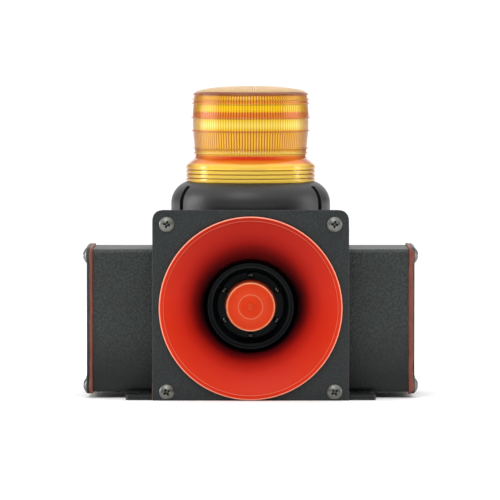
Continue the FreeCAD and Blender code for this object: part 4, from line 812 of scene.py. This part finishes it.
def make_plate_gasket():
    """Silicone sheet between plate and casting, a little of which shows at the lower edges."""
    low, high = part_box("front_plate_gasket")

    def eased(point):
        """Push a side edge outwards, most of all low down on one side."""
        u, v = point
        peek = max(0.0, 1 - v / (22 * MM)) * 0.9 if u < 0 else 0.35
        side_edge = abs(u) > high.x - 1.5 * MM
        return (u + math.copysign((0.55 + peek * 0.5) * MM, u), v) if side_edge else point

    outline = rounded_box(low.x, low.z, high.x, high.z, 0.8 * MM, 8 * MM, 8)
    outer = [eased(point) for point in dense(outline, 2 * MM)]
    opening = ring((0, HORN_Z), OPENING_R, 128)
    mesh = sheet("plate_seal", [outer, opening], low.y, high.y, 0.4 * MM, "y")
    keep("plate_seal", mesh, "red_silicone", "base", "front_plate_gasket")


def screw_mesh(head_r, head_h, shank_r, shank_l):
    """Truss-head screw along +Z: turned rings on the head, a cross recess and a threaded shank."""
    edge_h = 0.16 * head_h
    rise = head_h - edge_h
    ball = (head_r ** 2 + rise ** 2) / (2 * rise)
    outline = [(0, head_h)]
    rings = 26
    for step in range(1, rings + 1):
        radius = head_r * step / rings
        level = math.sqrt(ball ** 2 - radius ** 2) - (ball - rise) + edge_h
        outline.append((radius * 0.995, level - 0.07 * MM * (step % 3 == 0)))
    outline += [(head_r, edge_h * 0.8), (head_r, edge_h * 0.3), (head_r * 0.97, 0), (shank_r * 1.05, 0)]
    pitch = 0.8 * MM
    turns = int(shank_l / pitch) - 1
    for step in range(turns):
        level = -(step + 1) * pitch
        outline += [(shank_r * 0.84, level + 0.35 * MM), (shank_r, level), (shank_r * 0.84, level - 0.35 * MM)]
    outline += [(shank_r * 0.7, -shank_l), (0, -shank_l)]
    body = new_object("screw_body", turned("screw", outline, 48, degrees=40))
    arm = head_r * 0.52
    thin = head_r * 0.125
    deep = head_h * 0.2
    cutter_points = []
    root = thin * 1.3
    cross = [(arm, -thin), (arm, thin), (root, root), (thin, arm), (-thin, arm), (-root, root),
             (-arm, thin), (-arm, -thin), (-root, -root), (-thin, -arm), (thin, -arm), (root, -root)]
    for level, grow in ((deep, 0.55), (head_h * 1.3, 1.15)):
        cutter_points += [(x * grow, y * grow, level) for x, y in cross]
    count = len(cross)
    faces = [list(range(count)), list(range(count, 2 * count))]
    faces += [[index, (index + 1) % count, count + (index + 1) % count, count + index] for index in range(count)]
    cutter = new_object("screw_cutter", mesh_from("cutter", cutter_points, faces))
    cut = body.modifiers.new("recess", "BOOLEAN")
    cut.operation = "DIFFERENCE"
    cut.solver = "EXACT"
    cut.object = cutter
    bpy.context.view_layer.update()
    result = bpy.data.meshes.new_from_object(body.evaluated_get(bpy.context.evaluated_depsgraph_get()))
    bpy.data.objects.remove(body)
    bpy.data.objects.remove(cutter)
    return result


def make_screws(name, node, model, places):
    """One group of screws; each place is (point, direction of the head), and every cross lies its own way."""
    meshes = []
    for index, (point, direction) in enumerate(places):
        copy = model.copy()
        spin = Matrix.Rotation(math.radians(31 + 47 * index), 4, "Z")
        face = Vector(direction).to_track_quat("Z", "Y").to_matrix().to_4x4()
        copy.transform(Matrix.Translation(point) @ face @ spin)
        meshes.append(copy)
    keep(name, joined(name, meshes), "zinc_steel" if node == "rear_screws" else "dark_steel", "base", node)


def make_all_screws():
    plate_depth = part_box("front_plate_screws")[1].y - PLATE_Y
    big = screw_mesh(SCREW_HEAD_R, SCREW_HEAD_H, SCREW_SHANK_R, plate_depth)
    make_screws("plate_screws", "front_plate_screws", big,
                [((x, PLATE_Y, z), (0, -1, 0)) for x, z in screw_spots("front_plate_screws", 0)])
    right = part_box("right_cover")[1].x
    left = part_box("left_cover")[0].x
    places = [((right, y, z), (1, 0, 0)) for y, z in screw_spots("cover_screws", 1)]
    places += [((left, y, z), (-1, 0, 0)) for y, z in screw_spots("cover_screws", 1)]
    make_screws("end_cover_screws", "cover_screws", big, places)
    rear_depth = HOUSING_HIGH.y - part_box("rear_screws")[0].y
    small = screw_mesh(REAR_HEAD_R, REAR_HEAD_H, 2.0 * MM, rear_depth)
    make_screws("bracket_screws", "rear_screws", small,
                [((x, HOUSING_HIGH.y, z), (0, 1, 0)) for x, z in screw_spots("rear_screws", 0, REAR_HEAD_R)])


def finish_cad_nodes():
    """Give every CAD node that still shows the finish of its slot."""
    for node in nodes.values():
        for index, material in enumerate(node.data.materials):
            node.data.materials[index] = finishes[material.name.split(".")[0]]


# ---- stage --------------------------------------------------------------------------------------------
def make_stage():
    """Pale floor, white surroundings that are brightest above and behind, four soft lights and the camera."""
    mesh = mesh_from("floor", [(-80, -80, 0), (80, -80, 0), (80, 80, 0), (-80, 80, 0)], [[0, 1, 2, 3]])
    mesh.transform(Matrix.Translation((0, 0, cad_low.z)))
    floor = new_object("floor", mesh)
    floor.data.materials.append(mottled("pale_floor", grey(0.95), 0.9, spread=0.01, patch=3.0, relief=0.0))

    scene = bpy.context.scene
    world = bpy.data.worlds.new("studio")
    world.use_nodes = True
    wires = Wiring(world.node_tree, "Generated")
    above = wires.span(wires.z, 0.1, 0.8, 0.22, 1.35, interpolation_type="SMOOTHSTEP")
    backdrop = wires.span(wires.y, 0.86, 0.96, 0.0, 1.1, interpolation_type="SMOOTHSTEP")
    sky = wires.tree.nodes["Background"]
    wires.fill(sky, Color=(1, 1, 1, 1), Strength=wires.math("ADD", above, backdrop))
    scene.world = world
    scene.view_settings.view_transform = "Standard"

    target = Vector((0, 0, (cad_low.z + cad_high.z) / 2))
    lamps = (("key", (-0.4, -1.5, 1.9), 1.2, 1.2, 13), ("left", (-1.7, 0.1, 0.5), 0.4, 1.0, 15),
             ("right", (1.7, 0.1, 0.5), 0.4, 1.0, 8), ("top", (0.2, 0.5, 2.0), 1.4, 1.4, 6))
    for name, place, width, height, power in lamps:
        light = bpy.data.lights.new(name, "AREA")
        light.shape = "RECTANGLE"
        light.size = width
        light.size_y = height
        light.energy = power
        lamp = new_object(name, light)
        lamp.location = place
        lamp.rotation_euler = (target - Vector(place)).to_track_quat("-Z", "Y").to_euler()

    lens = bpy.data.cameras.new("camera")
    lens.sensor_width = 36
    lens.lens = 378
    lens.clip_end = 300
    camera = new_object("camera", lens)
    look_at = Vector((-0.5 * MM, PLATE_Y, 115 * MM))
    rise = math.radians(2.5)
    distance = 4.0
    camera.location = look_at + Vector((0, -math.cos(rise), math.sin(rise))) * distance
    camera.rotation_euler = (look_at - camera.location).to_track_quat("-Z", "Y").to_euler()
    scene.camera = camera


finishes = materials()
make_horn_flare()
make_throat_bowl()
make_cap()
make_lens()
make_plate()
make_plate_gasket()
make_cover(-1, "left")
make_cover(1, "right")
make_all_screws()
finish_cad_nodes()
make_stage()
